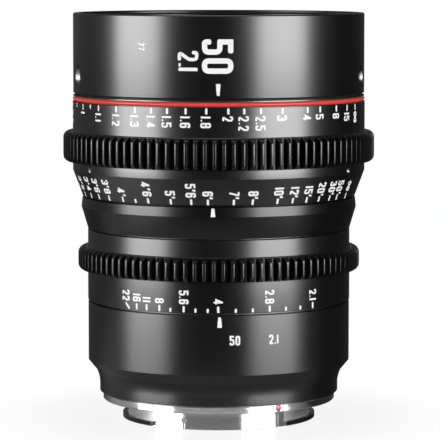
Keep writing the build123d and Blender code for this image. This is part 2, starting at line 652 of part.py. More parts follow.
def rear_cell():
    """Rear half of the optical unit: guide skirt, snout, iris chamber and blade pedestal."""
    body = lathe([
        (REAR_GLASS_R, SNOUT_Z), (SNOUT_R, SNOUT_Z), (SNOUT_R, WEB_Z), (CELL_R - SKIRT_WALL, WEB_Z),
        (CELL_R - SKIRT_WALL, SKIRT_Z), (CELL_R, SKIRT_Z), (CELL_R, REAR_CELL_TOP),
        (CHAMBER_R, REAR_CELL_TOP), (CHAMBER_R, GROOVE_Z), (PEDESTAL_R, GROOVE_Z), (PEDESTAL_R, BASE_Z),
        (APERTURE_LIP_R, BASE_Z), (APERTURE_LIP_R, BASE_Z - APERTURE_LIP_T),
        (REAR_CLEAR_R, BASE_Z - APERTURE_LIP_T), (REAR_CLEAR_R, SHOULDER_Z), (REAR_GLASS_R, SHOULDER_Z)])
    margin = degrees((DRIVE_PIN_R + CLEAR) / CHAMBER_R)
    start = DRIVE_PIN_AZIMUTH - IRIS_TO_OPEN - margin
    end = DRIVE_PIN_AZIMUTH + IRIS_TO_CLOSED + margin
    body -= sector(CHAMBER_R - RUN_GAP, CELL_R + CUT, PIN_REACH_LOW, PIN_REACH_HIGH, start, end)
    for number in range(BLADE_COUNT):
        pivot = Pos(PIVOT_R, 0, BASE_Z) * Cylinder(PIVOT_PIN_R + RUN_GAP, 2 * BLADE_SLOT_LAND)
        body -= Rot(0, 0, 360 * number / BLADE_COUNT) * pivot
    return body


def front_cell():
    """Front half of the optical unit with its stepped bore."""
    shoulder = THIRD_RETAINER_Z + THIRD_RETAINER_T
    relief_low, relief_high = REAR_CELL_TOP + FRONT_RELIEF_MARGIN, SECOND_Z - CLEAR
    body = lathe([
        (FRONT_CLEAR_R, COVER_HIGH), (CHAMBER_R, COVER_HIGH), (CHAMBER_R, REAR_CELL_TOP),
        (CELL_R, REAR_CELL_TOP), (CELL_R, relief_low), (CELL_R - FRONT_RELIEF_T, relief_low),
        (CELL_R - FRONT_RELIEF_T, relief_high), (CELL_R, relief_high), (CELL_R, CELL_TOP),
        (FRONT_GLASS_R, CELL_TOP), (FRONT_GLASS_R, SECOND_Z), (THIRD_R, shoulder),
        (THIRD_R, THIRD_Z), (FRONT_CLEAR_R, THIRD_Z)])
    for azimuth in FOLLOWER_AZIMUTHS:
        body -= radial_pin(FOLLOWER_R, CELL_R - FOLLOWER_ROOT, CELL_R + CUT, FOLLOWER_Z, azimuth)
    return body


def iris_cover():
    """Ring that closes the iris chamber."""
    return tube(COVER_BORE_R, CHAMBER_R, COVER_LOW, COVER_HIGH)


def cam_pin_place(blade_turn):
    """Centre of the first blade's cam pin when the blade has swung so far from open."""
    angle = radians(LEVER_OPEN + blade_turn)
    return PIVOT_R + LEVER_L * cos(angle), LEVER_L * sin(angle)


def cam_slot():
    """Face of the spiral slot that guides one blade's cam pin."""
    half = CAM_PIN_R + PIN_GAP
    centres = []
    for step in range(CAM_SLOT_STEPS + 1):
        ring_turn = IRIS_THROW * step / CAM_SLOT_STEPS
        x, y = cam_pin_place(ring_turn * BLADE_RATIO)
        turn = radians(IRIS_TO_OPEN - ring_turn)
        centres.append((x * cos(turn) - y * sin(turn), x * sin(turn) + y * cos(turn)))
    sides = ([], [])
    for step, (x, y) in enumerate(centres):
        before, after = centres[max(step - 1, 0)], centres[min(step + 1, CAM_SLOT_STEPS)]
        slant = atan2(after[1] - before[1], after[0] - before[0])
        across = (-half * sin(slant), half * cos(slant))
        sides[0].append((x + across[0], y + across[1]))
        sides[1].append((x - across[0], y - across[1]))
    edges = Spline(*sides[0]) + Line(sides[0][-1], sides[1][-1])
    edges += Spline(*sides[1]) + Line(sides[1][0], sides[0][0])
    face = make_face(edges)
    for x, y in (centres[0], centres[-1]):
        face += Pos(x, y) * Circle(half)
    return face


def iris_cam_ring():
    """Ring that turns the blades: a plate with spiral slots and a rim with the fork."""
    inner = CAM_PIN_OPEN_R - CAM_PIN_R - BLADE_SLOT_LAND
    body = lathe([
        (inner, PLATE_LOW), (CAM_RING_BORE, PLATE_LOW), (CAM_RING_BORE, GROOVE_Z + CLEAR),
        (CAM_RING_R, GROOVE_Z + CLEAR), (CAM_RING_R, PLATE_HIGH), (inner, PLATE_HIGH)])
    slot = Pos(0, 0, PLATE_LOW - CUT) * extrude(cam_slot(), CAM_PLATE_T + 2 * CUT)
    for number in range(BLADE_COUNT):
        body -= Rot(0, 0, 360 * number / BLADE_COUNT) * slot
    width = 2 * (DRIVE_PIN_R + RUN_GAP)
    inner_cut = CAM_RING_BORE - RUN_GAP
    body -= radial_slot(width, inner_cut, CAM_RING_R + CUT, GROOVE_Z, PIN_REACH_HIGH, DRIVE_PIN_AZIMUTH)
    return body


def blade_outline():
    """Face of the first blade when it is fully open."""
    band = Circle(BLADE_OUT_R) - Circle(OPEN_R)
    wedge_r = 2 * PIVOT_R
    wedge = make_face(Polyline(
        (0, 0),
        *[(wedge_r * cos(radians(a)), wedge_r * sin(radians(a)))
          for a in (BLADE_START_ANGLE, (BLADE_START_ANGLE + BLADE_END_ANGLE) / 2, BLADE_END_ANGLE)],
        close=True))
    face = band & wedge
    ear = PIVOT_PIN_R + EAR_MARGIN
    tail = CAM_PIN_R + EAR_MARGIN
    x, y = cam_pin_place(0)
    face += Pos(PIVOT_R, 0) * Circle(ear)
    neck_l = PIVOT_R - BLADE_OUT_R + ear
    face += Pos(PIVOT_R - neck_l / 2, 0) * Rectangle(neck_l, 2 * ear)
    face += Pos(x, y) * Circle(tail)
    slant = degrees(atan2(y, x - PIVOT_R))
    face += Pos((x + PIVOT_R) / 2, y / 2) * Rot(0, 0, slant) * Rectangle(LEVER_L, 2 * tail)
    return face


def iris_blade(number):
    """One blade with its pivot pin below and its cam pin above, at rest."""
    low = BASE_Z + BLADE_FIRST_LIFT + number * BLADE_PITCH
    plate = Pos(0, 0, low) * extrude(blade_outline(), BLADE_T)
    pivot_low = BASE_Z - BLADE_SLOT_LAND + RUN_GAP
    pivot_pin = Cylinder(PIVOT_PIN_R, low - pivot_low, align=(Align.CENTER, Align.CENTER, Align.MIN))
    x, y = cam_pin_place(0)
    pin_low = low + BLADE_T
    pin_l = PLATE_HIGH - RUN_GAP - pin_low
    cam_pin = Cylinder(CAM_PIN_R, pin_l, align=(Align.CENTER, Align.CENTER, Align.MIN))
    blade = plate + Pos(PIVOT_R, 0, pivot_low) * pivot_pin + Pos(x, y, pin_low) * cam_pin
    swing = Pos(PIVOT_R, 0, 0) * Rot(0, 0, IRIS_TO_OPEN * BLADE_RATIO) * Pos(-PIVOT_R, 0, 0)
    return Rot(0, 0, 360 * number / BLADE_COUNT) * swing * blade


def lens_element(edge_r, clear_r, low, thickness, sags):
    """A glass element with a flat rim and two spherical surfaces."""
    high = low + thickness
    surfaces = []
    for height, sag in ((low, -sags[0]), (high, sags[1])):
        radius = (clear_r**2 + sag**2) / (2 * abs(sag))
        fall = radius - sqrt(radius**2 - clear_r**2 / 4)
        middle = height + sag - (fall if sag > 0 else -fall)
        surfaces.append(ThreePointArc((0, height + sag), (clear_r / 2, middle), (clear_r, height)))
    rim = Polyline((clear_r, low), (edge_r, low), (edge_r, high), (clear_r, high))
    axis = Line((0, low - sags[0]), (0, high + sags[1]))
    outline = make_face(surfaces[0] + rim + surfaces[1] + axis)
    return revolve(Plane.XZ * outline, Axis.Z)


def front_group():
    """Glass, spacers and retaining rings of the front cell."""
    clear = FRONT_GLASS_CLEAR_R
    return {
        "front_element": lens_element(FRONT_GLASS_R, clear, FRONT_ELEMENT_Z, FRONT_ELEMENT_T, FRONT_SAGS),
        "second_element": lens_element(FRONT_GLASS_R, clear, SECOND_Z, SECOND_T, SECOND_SAGS),
        "third_element": lens_element(THIRD_R, THIRD_CLEAR_R, THIRD_Z, THIRD_T, THIRD_SAGS),
        "front_retaining_ring": lathe([
            (clear, FRONT_RETAINER_Z), (FRONT_GLASS_R, FRONT_RETAINER_Z), (FRONT_GLASS_R, CELL_TOP),
            (FRONT_GLASS_R - EDGE, CELL_TOP)]),
        "front_spacer": tube(clear, FRONT_GLASS_R, FRONT_SPACER_Z, FRONT_ELEMENT_Z),
        "inner_retaining_ring": tube(
            THIRD_CLEAR_R, THIRD_R, THIRD_RETAINER_Z, THIRD_RETAINER_Z + THIRD_RETAINER_T),
    }


def rear_group():
    """Glass, spacers and retaining ring of the rear cell."""
    edge, clear = REAR_GLASS_R, REAR_CLEAR_R
    return {
        "fourth_element": lens_element(edge, clear, FOURTH_Z, FOURTH_T, FOURTH_SAGS),
        "fifth_element": lens_element(edge, clear, FIFTH_Z, FIFTH_T, FIFTH_SAGS),
        "rear_element": lens_element(edge, clear, REAR_ELEMENT_Z, REAR_ELEMENT_T, REAR_SAGS),
        "rear_spacer": tube(clear, edge, REAR_SPACER_Z, FOURTH_Z),
        "rear_inner_spacer": tube(clear, edge, REAR_INNER_SPACER_Z, FIFTH_Z),
        "rear_retaining_ring": tube(clear, edge, REAR_RETAINER_Z, REAR_ELEMENT_Z),
    }


def write(name, shapes):
    """Writes one node, a single solid or a group of separate ones."""
    group = shapes if isinstance(shapes, list) else [shapes]
    solids = [solid for shape in group for solid in shape.solids()]
    export_step(Compound(children=solids) if len(solids) > 1 else solids[0], f"parts/{name}.step")


def main():
    """Builds every node and writes it."""
    os.makedirs("parts", exist_ok=True)
    pieces = [
        bayonet_mount, mount_screws, bayonet_stop_pin, alignment_dot, mount_shim, rear_baffle,
        rear_barrel, main_tube, index_ring, rear_glide_ring, front_glide_ring, front_barrel,
        front_barrel_screws, front_trim_ring, iris_ring, iris_gear, iris_clamp_ring, iris_drive_pin,
        focus_ring, focus_ring_screws, focus_gear, metre_ring, accent_ring, focus_end_ring,
        cam_sleeve, cam_followers, rear_cell, front_cell, iris_cover, iris_cam_ring]
    nodes = {piece.__name__: piece() for piece in pieces}
    nodes.update(front_group())
    nodes.update(rear_group())
    for number in range(BLADE_COUNT):
        nodes[f"iris_blade_{number + 1}"] = iris_blade(number)
    for name, shapes in nodes.items():
        write(name, shapes)
    print(len(nodes), "nodes, blade ratio", BLADE_RATIO, "travel", -TRAVEL_IN, TRAVEL_OUT)


main()
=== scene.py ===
import logging
import math
from dataclasses import dataclass, field
from enum import Enum
from typing import Callable, Iterable, Sequence

import bmesh
import bpy
from mathutils import Matrix, Vector


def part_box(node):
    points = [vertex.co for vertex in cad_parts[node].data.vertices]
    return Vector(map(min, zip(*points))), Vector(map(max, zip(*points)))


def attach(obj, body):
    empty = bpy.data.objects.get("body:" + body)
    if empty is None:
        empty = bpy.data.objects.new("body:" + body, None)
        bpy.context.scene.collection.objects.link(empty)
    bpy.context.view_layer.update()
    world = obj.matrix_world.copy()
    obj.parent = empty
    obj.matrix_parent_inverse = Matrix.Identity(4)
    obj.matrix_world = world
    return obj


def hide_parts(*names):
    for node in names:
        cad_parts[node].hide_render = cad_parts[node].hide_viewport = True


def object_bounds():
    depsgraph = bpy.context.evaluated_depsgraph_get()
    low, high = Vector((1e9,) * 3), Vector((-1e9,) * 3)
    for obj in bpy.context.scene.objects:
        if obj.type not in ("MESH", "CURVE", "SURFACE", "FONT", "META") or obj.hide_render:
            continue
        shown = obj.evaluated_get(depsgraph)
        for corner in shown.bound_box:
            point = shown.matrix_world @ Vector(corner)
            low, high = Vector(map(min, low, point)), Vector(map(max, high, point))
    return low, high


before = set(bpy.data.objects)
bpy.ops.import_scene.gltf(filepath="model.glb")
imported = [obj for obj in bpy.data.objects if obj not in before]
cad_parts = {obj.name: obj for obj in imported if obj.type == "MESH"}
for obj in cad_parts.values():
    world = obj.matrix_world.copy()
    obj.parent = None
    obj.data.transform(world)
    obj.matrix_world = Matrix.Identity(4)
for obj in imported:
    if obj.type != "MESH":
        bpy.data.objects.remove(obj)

# Lengths are millimetres until they reach a mesh or a socket. Angles in fields and arguments are
# degrees. Azimuth 0 is the side of the index marks (-Y), and azimuth grows towards +X.

MM = 0.001
TURN_STEPS = 288  # pieces around the lens axis
WALL_STEPS = 36  # pieces around the axis of a small form in a wall
POLE = 0.02  # radius at which such a small form is closed
SHARP = 35.0  # angle above which an edge of a turned form stays sharp
STUD_SHARP = 40.0  # the same for marks and small forms in a wall
CHAMFER = 0.2  # broken edge of a barrel
CAD_BOX = [list(corner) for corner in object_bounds()]
LOG = logging.getLogger("lens")
MADE: dict[str, bpy.types.Material] = {}

Pair = tuple[float, float]
Point = tuple[float, float]
Outline = list[Point]
Row = tuple[float | list[float], float]
Spot = tuple[float, float, float]
Colour = tuple[float, float, float]
Face = tuple[int, ...]
Stroke = tuple[Outline, bool, float]


def outer_radius(node: str) -> float:
    """Largest radius of a turned node."""
    low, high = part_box(node)
    return max(high.x, high.y, -low.x, -low.y) / MM


def span(node: str) -> Pair:
    """Lowest and highest point of a node along the lens axis."""
    low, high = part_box(node)
    return low.z / MM, high.z / MM


def turned(node: str) -> tuple[float, float, float]:
    """Lowest point, highest point and largest radius of a turned node."""
    return *span(node), outer_radius(node)


def operator(operation: str, reflected: bool = False) -> Callable[..., "Term"]:
    """Makes a method that adds one Math node.

    Args:
        operation: What the node does.
        reflected: Whether the method's own number stands on the right.

    Returns:
        The method.
    """
    def method(own: "Term", *others: "Term | float") -> "Term":
        """Adds the node and returns its result."""
        values = (*others, own) if reflected else (own, *others)
        node = own.bench.make("ShaderNodeMath", {"operation": operation}, dict(enumerate(values)))
        return Term(own.bench, node.outputs[0])
    return method


@dataclass(frozen=True)
class Term:
    """A number in a node tree, so that maths on it reads as a Python expression.

    Attributes:
        bench: The tree that the number belongs to.
        socket: The output that gives it.
    """

    bench: "Bench"
    socket: bpy.types.NodeSocket

    __add__ = operator("ADD")
    __radd__ = operator("ADD", True)
    __sub__ = operator("SUBTRACT")
    __rsub__ = operator("SUBTRACT", True)
    __mul__ = operator("MULTIPLY")
    __rmul__ = operator("MULTIPLY", True)
    __truediv__ = operator("DIVIDE")
    root = operator("SQRT")
    angle = operator("ARCTAN2")

    def ramp(self, low: float, high: float, unit: float = 1.0) -> "Term":
        """Smooth step from zero at low to one at high, both given in a unit."""
        node = self.bench.make("ShaderNodeMapRange", {"interpolation_type": "SMOOTHSTEP"}, {
            "Value": self, "From Min": low * unit, "From Max": high * unit})
        return Term(self.bench, node.outputs["Result"])


@dataclass
class Bench:
    """One node tree and the single way in which nodes are added to it.

    Attributes:
        tree: A shader tree or a Geometry Nodes tree.
    """

    tree: bpy.types.NodeTree

    def feed(self, socket: bpy.types.NodeSocket, value: object) -> None:
        """Links a number or a socket to an input, or sets its plain value.

        Args:
            socket: The input.
            value: A number in the tree, a socket, or a plain value.
        """
        source = value.socket if isinstance(value, Term) else value
        if isinstance(source, bpy.types.NodeSocket):
            self.tree.links.new(source, socket)
        else:
            socket.default_value = (*source, 1.0) if socket.type == "RGBA" else source

    def make(self, kind: str, settings: dict | None = None,
             inputs: dict | None = None) -> bpy.types.Node:
        """Adds a node, sets what it does and feeds its sockets.

        Args:
            kind: The node's type.
            settings: Its own settings, set first.
            inputs: Values or links by the socket's name or place.

        Returns:
            The new node.
        """
        node = self.tree.nodes.new(kind)
        for name, value in (settings or {}).items():
            setattr(node, name, value)
        for name, value in (inputs or {}).items():
            self.feed(node.inputs[name], value)
        return node

    def term(self, node: bpy.types.Node, output: str | int = 0) -> Term:
        """A node's output as a number for maths."""
        return Term(self, node.outputs[output])

    def parts(self, vector: bpy.types.NodeSocket) -> tuple[Term, ...]:
        """The three coordinates of a vector."""
        split = self.make("ShaderNodeSeparateXYZ", None, {"Vector": vector})
        return tuple(self.term(split, axis) for axis in "XYZ")

    def vector(self, **parts: Term | float) -> bpy.types.NodeSocket:
        """A vector from its coordinates X, Y and Z."""
        return self.make("ShaderNodeCombineXYZ", None, parts).outputs["Vector"]

    def noise(self, vector: bpy.types.NodeSocket, scale: float, detail: float) -> Term:
        """A noise value between zero and one."""
        return self.term(self.make("ShaderNodeTexNoise", None, {
            "Vector": vector, "Scale": scale, "Detail": detail}), "Fac")

    def mix(self, factor: Term, first: Colour | bpy.types.NodeSocket,
            second: Colour | bpy.types.NodeSocket) -> bpy.types.NodeSocket:
        """Mixes two colours.

        Args:
            factor: Zero gives the first, one the second.
            first: A colour or its socket.
            second: A colour or its socket.

        Returns:
            The socket of the mixed colour.
        """
        node = self.make("ShaderNodeMix", {"data_type": "RGBA"}, {0: factor, 6: first, 7: second})
        return node.outputs[2]


class Surface(Bench):
    """The shader tree of a new material."""

    def __init__(self, name: str) -> None:
        """Makes the material.

        Args:
            name: The material's name.
        """
        self.material = bpy.data.materials.new(name)
        self.material.use_nodes = True
        super().__init__(self.material.node_tree)
        self.bsdf = self.tree.nodes["Principled BSDF"]

    def give(self, values: dict[str, object]) -> None:
        """Feeds the sockets of the material's own shader."""
        for name, value in values.items():
            self.feed(self.bsdf.inputs[name], value)

    def place(self) -> bpy.types.NodeSocket:
        """The surface's point in the frame of the model."""
        return self.make("ShaderNodeTexCoord").outputs["Object"]

    def polar(self, place: bpy.types.NodeSocket) -> tuple[Term, ...]:
        """X, Y and Z of a point and its distance from the lens axis."""
        across, along, height = self.parts(place)
        return across, along, height, (across * across + along * along).root()

    def bump(self, height: Term) -> bpy.types.NodeSocket:
        """The normal that a height in millimetres gives."""
        return self.make("ShaderNodeBump", None, {
            "Height": height, "Distance": MM, "Strength": 1.0}).outputs["Normal"]

    def blend(self, factor: Term, first: bpy.types.NodeSocket,
              second: bpy.types.NodeSocket) -> None:
        """Ends the material in a mix of two shaders."""
        mixed = self.make("ShaderNodeMixShader", None, {0: factor, 1: first, 2: second})
        self.feed(self.tree.nodes["Material Output"].inputs["Surface"], mixed.outputs["Shader"])


class Turning(Enum):
    """How fine lines run on a finish."""

    AROUND = "lines around the lens axis"
    BLASTED = "no lines, only fine grain"


@dataclass(frozen=True)
class Look:
    """A material that is made when it is first asked for.

    Attributes:
        name: The material's name.
    """

    name: str

    def material(self) -> bpy.types.Material:
        """Finds or makes the material.

        Returns:
            The material, the same one each time.
        """
        if self.name not in MADE:
            surface = Surface(self.name)
            self.shade(surface)
            MADE[self.name] = surface.material
        return MADE[self.name]

    def shade(self, surface: Surface) -> None:
        """Fills the tree; each finish has its own way."""
        raise NotImplementedError


@dataclass(frozen=True)
class Finish(Look):
    """A solid finish: its colour, gloss, and the marks that its making leaves.

    Attributes:
        colour: Linear colour.
        metallic: One for bare metal.
        roughness: Mean roughness.
        specular: Specular level.
        grain: Height of the blasted grain.
        lines: Height of the turned lines.
        blotch: How much the gloss changes over the surface.
        tint: How much the colour changes over the surface.
        turning: The direction of the fine lines.
        coat: Weight of a clear coat.
        coat_roughness: Roughness of that coat.
        cloud_noise: Scale and detail of the wide changes in gloss and colour.
        fine_noise: Scale and detail of the fine changes in gloss.
        grain_noise: Scale and detail of the blasted grain.
        line_scale: Scale of the turned lines.
        line_noise: Further scale and detail of the turned lines.
    """

    colour: Colour
    metallic: float = 0.0
    roughness: float = 0.4
    specular: float = 0.5
    grain: float = 0.0
    lines: float = 0.0
    blotch: float = 0.04
    tint: float = 0.1
    turning: Turning = Turning.BLASTED
    coat: float = 0.0
    coat_roughness: float = 0.12
    cloud_noise: Pair = (60.0, 3.0)
    fine_noise: Pair = (900.0, 2.0)
    grain_noise: Pair = (5200.0, 1.0)
    line_scale: float = 9000.0
    line_noise: Pair = (1.0, 2.0)

    def shade(self, surface: Surface) -> None:
        """Fills the tree of the new material.

        Args:
            surface: The tree.
        """
        place = surface.place()
        cloud = surface.noise(place, *self.cloud_noise)
        fine = surface.noise(place, *self.fine_noise)
        shade = ((cloud - 0.5) * (2 * self.tint) + 1.0).ramp(1 - self.tint, 1 + self.tint)
        dark, light = (tuple(channel * (1 + change) for channel in self.colour)
                       for change in (-self.tint, self.tint))
        rough = (cloud - 0.5) * (2 * self.blotch) + (fine - 0.5) * self.blotch + self.roughness
        heights = []
        if self.grain:
            heights.append(surface.noise(place, *self.grain_noise) * self.grain)
        if self.turning is Turning.AROUND:
            rough = rough + (self._rings(surface, place) - 0.5) * (2 * self.blotch)
        if self.lines:
            heights.append(self._rings(surface, place) * self.lines)
        surface.give({
            "Base Color": surface.mix(shade, dark, light), "Metallic": self.metallic,
            "Roughness": rough, "Specular IOR Level": self.specular, "Coat Weight": self.coat,
            "Coat Roughness": self.coat_roughness})
        if heights:
            surface.give({"Normal": surface.bump(sum(heights[1:], heights[0]))})

    def _rings(self, surface: Surface, place: bpy.types.NodeSocket) -> Term:
        """Noise that is the same all the way round the lens axis.

        Args:
            surface: The tree.
            place: The surface's point.

        Returns:
            The noise value.
        """
        _, _, height, radius = surface.polar(place)
        route = surface.vector(X=radius * self.line_scale, Y=height * self.line_scale)
        return surface.noise(route, *self.line_noise)


@dataclass(frozen=True)
class GearFinish(Look):
    """Gear black: satin on the lands and the rounded ends of the teeth, matt on their cut sides.

    Attributes:
        tip: Radius of the teeth's tips.
        land: Finish of the lands.
        side: Colour, roughness and specular level of the cut sides.
        crest: How far below the tip the sides begin and cease to shine.
        crest_share: How satin the sides are at the tip.
        facing: Where a surface that faces outwards or along the axis turns satin.
        flat: Where the middle of a land turns matt again.
        flat_share: How matt it turns.
    """

    tip: float
    land: Finish = Finish("gear_land", (0.0030, 0.0030, 0.0031), roughness=0.24, specular=0.62)
    side: tuple[Colour, float, float] = ((0.003, 0.003, 0.003), 0.55, 0.10)
    crest: Pair = (0.45, 0.1)
    crest_share: float = 0.5
    facing: Pair = (0.5, 0.8)
    flat: Pair = (0.985, 0.998)
    flat_share: float = 0.5

    def shade(self, surface: Surface) -> None:
        """Fills the tree of the new material.

        Args:
            surface: The tree.
        """
        self.land.shade(surface)
        colour, roughness, specular = self.side
        side = surface.make("ShaderNodeBsdfPrincipled", None, {
            "Base Color": colour, "Roughness": roughness, "Specular IOR Level": specular})
        place = surface.make("ShaderNodeTexCoord")
        across, along, _, radius = surface.polar(place.outputs["Object"])
        aside, ahead, up = surface.parts(place.outputs["Normal"])
        outward = (aside * across + ahead * along) / radius
        crest = radius.ramp(self.tip - self.crest[0], self.tip - self.crest[1], MM)
        satin = ((outward + (up * up).root()).ramp(*self.facing)
                 * (1 - outward.ramp(*self.flat) * self.flat_share))
        surface.blend(satin + crest * self.crest_share * (1 - satin),
                      side.outputs["BSDF"], surface.bsdf.outputs["BSDF"])


@dataclass(frozen=True)
class ChromeFinish(Look):
    """Plated, polished metal with short streaks around the lens axis and painted shade on the lugs.

    Attributes:
        plate: Colour of the plating.
        streak: Colour of the streaks.
        seat: Colour of the dull ground behind the lugs.
        lug: Colour of the painted shade on the lugs' sides.
        roughness: Roughness between the streaks.
        spigot: Radii between which the ground behind the lugs ends.
        register: Heights between which the flange begins.
        lug_top: Heights between which the lugs end.
        lug_side: How far a lug's place faces the index marks where its painted shade ends.
        streak_scale: Scale of the streaks around the axis and across it.
        streak_noise: Further scale and detail of the streaks.
        streak_edge: Noise values between which a streak begins.
        streak_share: How much of their colour the streaks have.
        streak_rough: How much rougher they are.
        streak_height: How high they stand.
        seat_rough: How much rougher the ground behind the lugs is.
    """

    plate: Colour = (0.80, 0.80, 0.81)
    streak: Colour = (0.50, 0.50, 0.52)
    seat: Colour = (0.78, 0.78, 0.79)
    lug: Colour = (0.10, 0.10, 0.105)
    roughness: float = 0.10
    spigot: Pair = (25.2, 25.4)
    register: Pair = (-0.5, -0.1)
    lug_top: Pair = (-3.85, -3.75)
    lug_side: Pair = (0.715, 0.725)
    streak_scale: Pair = (5.0, 5200.0)
    streak_noise: Pair = (1.0, 3.0)
    streak_edge: Pair = (0.46, 0.72)
    streak_share: float = 0.7
    streak_rough: float = 0.16
    streak_height: float = 0.0016
    seat_rough: float = 0.3

    def shade(self, surface: Surface) -> None:
        """Fills the tree of the new material.

        Args:
            surface: The tree.
        """
        across, along, height, radius = surface.polar(surface.place())
        around, fine = self.streak_scale
        streaks = surface.noise(surface.vector(
            X=across.angle(along) * around, Y=height * fine, Z=radius * fine),
            *self.streak_noise)
        mask = streaks.ramp(*self.streak_edge)
        outside = radius.ramp(*self.spigot, MM)
        behind = (1 - outside) * (1 - height.ramp(*self.register, MM))
        # Painted shade: below their top, the lugs' sides away from the index marks turn dark, as if
        # they mirrored a dark floor.
        beside = 1 - (along * -1.0 / radius).ramp(*self.lug_side)
        lugs = outside * (1 - height.ramp(*self.lug_top, MM)) * beside
        plated = surface.mix(mask * self.streak_share, self.plate, self.streak)
        rough = mask * self.streak_rough + behind * self.seat_rough + self.roughness
        surface.give({
            "Base Color": surface.mix(lugs, surface.mix(behind, plated, self.seat), self.lug),
            "Metallic": 1.0, "Roughness": rough,
            "Normal": surface.bump(streaks * self.streak_height)})


@dataclass(frozen=True)
class GlassFinish(Look):
    """Optical glass with a thin coating that colours its reflections.

    Attributes:
        film: Thickness of the coating in nanometres.
        film_index: Refractive index of the coating.
        index: Refractive index of the glass.
        colour: Linear colour of the glass.
        smear_noise: Scale and detail of the faint smears on it.
        smear_edge: Noise values between which a smear begins.
        smear: Roughness between the smears and what they add.
    """

    film: float
    film_index: float = 1.38
    index: float = 1.52
    colour: Colour = (0.96, 0.98, 1.0)
    smear_noise: Pair = (70.0, 2.0)
    smear_edge: Pair = (0.55, 0.9)
    smear: Pair = (0.005, 0.02)

    def shade(self, surface: Surface) -> None:
        """Fills the tree of the new material.

        Args:
            surface: The tree.
        """
        clear, added = self.smear
        smears = surface.noise(surface.place(), *self.smear_noise).ramp(*self.smear_edge)
        surface.give({
            "Base Color": self.colour, "Transmission Weight": 1.0, "IOR": self.index,
            "Thin Film Thickness": self.film, "Thin Film IOR": self.film_index,
            "Roughness": smears * added + clear})


def anodised(name: str, roughness: float, specular: float) -> Finish:
    """Black anodised aluminium with turned lines.

    Args:
        name: The material's name.
        roughness: Mean roughness.
        specular: Specular level.

    Returns:
        The finish.
    """
    return Finish(name, (0.0016, 0.0016, 0.0017), roughness=roughness, specular=specular,
                  grain=0.0010, lines=0.0004, blotch=0.02, tint=0.2, turning=Turning.AROUND)


def machined(name: str, colour: Colour, roughness: float) -> Finish:
    """Bare metal as a machine leaves it.

    Args:
        name: The material's name.
        colour: Linear colour.
        roughness: Mean roughness.

    Returns:
        The finish.
    """
    return Finish(name, colour, metallic=1.0, roughness=roughness, grain=0.001, lines=0.001,
                  blotch=0.05, tint=0.08)


class Finishes:
    """Every finish of this lens by its use."""

    BARREL = anodised("satin_anodised_black", 0.285, 0.94)
    RING = anodised("satin_ring_black", 0.285, 0.94)
    # The stop band, the fixed band and the rear barrel wear the barrel's satin black with a lower
    # specular level. This is painted shade, as the lamps' light falls off towards the lens's foot.
    STOP_BAND = anodised("satin_black_shaded_stop_band", 0.29, 0.66)
    FIXED_BAND = anodised("satin_black_shaded_fixed_band", 0.29, 0.54)
    REAR = anodised("satin_black_shaded_rear", 0.29, 0.74)
    LIP = Finish("bright_cut_lip", (0.125, 0.122, 0.115), metallic=0.85, roughness=0.28,
                 lines=0.0004, blotch=0.02, tint=0.05, turning=Turning.AROUND)
    DISH = Finish("bright_screw_steel", (0.20, 0.20, 0.205), metallic=1.0, roughness=0.30,
                  grain=0.001, blotch=0.05)
    INNER = Finish("matt_inner_black", (0.006, 0.006, 0.006), roughness=0.62, specular=0.3,
                   grain=0.004, lines=0.002, tint=0.2, turning=Turning.AROUND)
    RED = Finish("red_anodised", (0.74, 0.078, 0.060), metallic=0.10, roughness=0.32,
                 specular=0.40, grain=0.001, lines=0.0008, blotch=0.03, tint=0.06,
                 turning=Turning.AROUND, coat=0.1)
    ENAMEL = Finish("rose_enamel", (0.42, 0.018, 0.055), roughness=0.14, blotch=0.02, tint=0.05,
                    coat=0.8)
    INK = Finish("white_fill", (0.87, 0.87, 0.87), roughness=0.34, specular=0.6, grain=0.001,
                 blotch=0.03, tint=0.02)
    STEEL = machined("polished_screw_steel", (0.55, 0.55, 0.56), 0.24)
    SHIM = machined("rolled_shim_steel", (0.42, 0.42, 0.43), 0.35)
    BRASS = machined("turned_brass", (0.72, 0.50, 0.20), 0.28)
    ALLOY = Finish("turned_tube_alloy", (0.30, 0.30, 0.31), metallic=0.9, roughness=0.38,
                   grain=0.001, lines=0.002, blotch=0.05, turning=Turning.AROUND)
    ACETAL = Finish("black_acetal", (0.012, 0.012, 0.012), roughness=0.45, specular=0.35,
                    grain=0.002, tint=0.03)
    BLADE = Finish("blackened_blade_steel", (0.030, 0.030, 0.033), metallic=0.75, roughness=0.42,
                   specular=0.4, grain=0.002, blotch=0.05, tint=0.15)
    CHROME = ChromeFinish("chrome_plate")


def fillet(points: Outline, radius: float, closed: bool = True, steps: int = 4) -> Outline:
    """Rounds the corners of a flat outline.

    Args:
        points: The outline's corners.
        radius: Radius of the rounding; short edges take less.
        closed: Whether the last corner joins the first.
        steps: Straight pieces in each rounding.

    Returns:
        The rounded outline.
    """
    straight, most = math.radians(172), 0.45
    rounded: Outline = []
    count = len(points)
    for place, corner in enumerate(points):
        here = Vector(corner)
        before = Vector(points[place - 1]) - here
        after = Vector(points[(place + 1) % count]) - here
        bend = before.angle(after, math.pi)
        end_point = not closed and place in (0, count - 1)
        if end_point or bend > straight or radius <= 0:
            rounded.append(corner)
            continue
        reach = min(radius / math.tan(bend / 2), most * before.length, most * after.length)
        start, end = here + before.normalized() * reach, here + after.normalized() * reach
        for step in range(steps + 1):
            share = step / steps
            spot = start * (1 - share) ** 2 + here * (2 * share * (1 - share)) + end * share ** 2
            rounded.append((spot.x, spot.y))
    return rounded


def band(first: int, second: int, count: int, closed: bool = True,
         across: bool = False) -> list[Face]:
    """Faces between two rows of points.

    Args:
        first: Number of the first row's first point.
        second: Number of the second row's first point.
        count: Points in a row.
        closed: Whether each row closes on itself.
        across: Whether a face runs across to the second row first.

    Returns:
        The faces.
    """
    pairs = [(here, (here + 1) % count) for here in range(count if closed else count - 1)]
    if across:
        return [(first + a, second + a, second + b, first + b) for a, b in pairs]
    return [(first + a, first + b, second + b, second + a) for a, b in pairs]


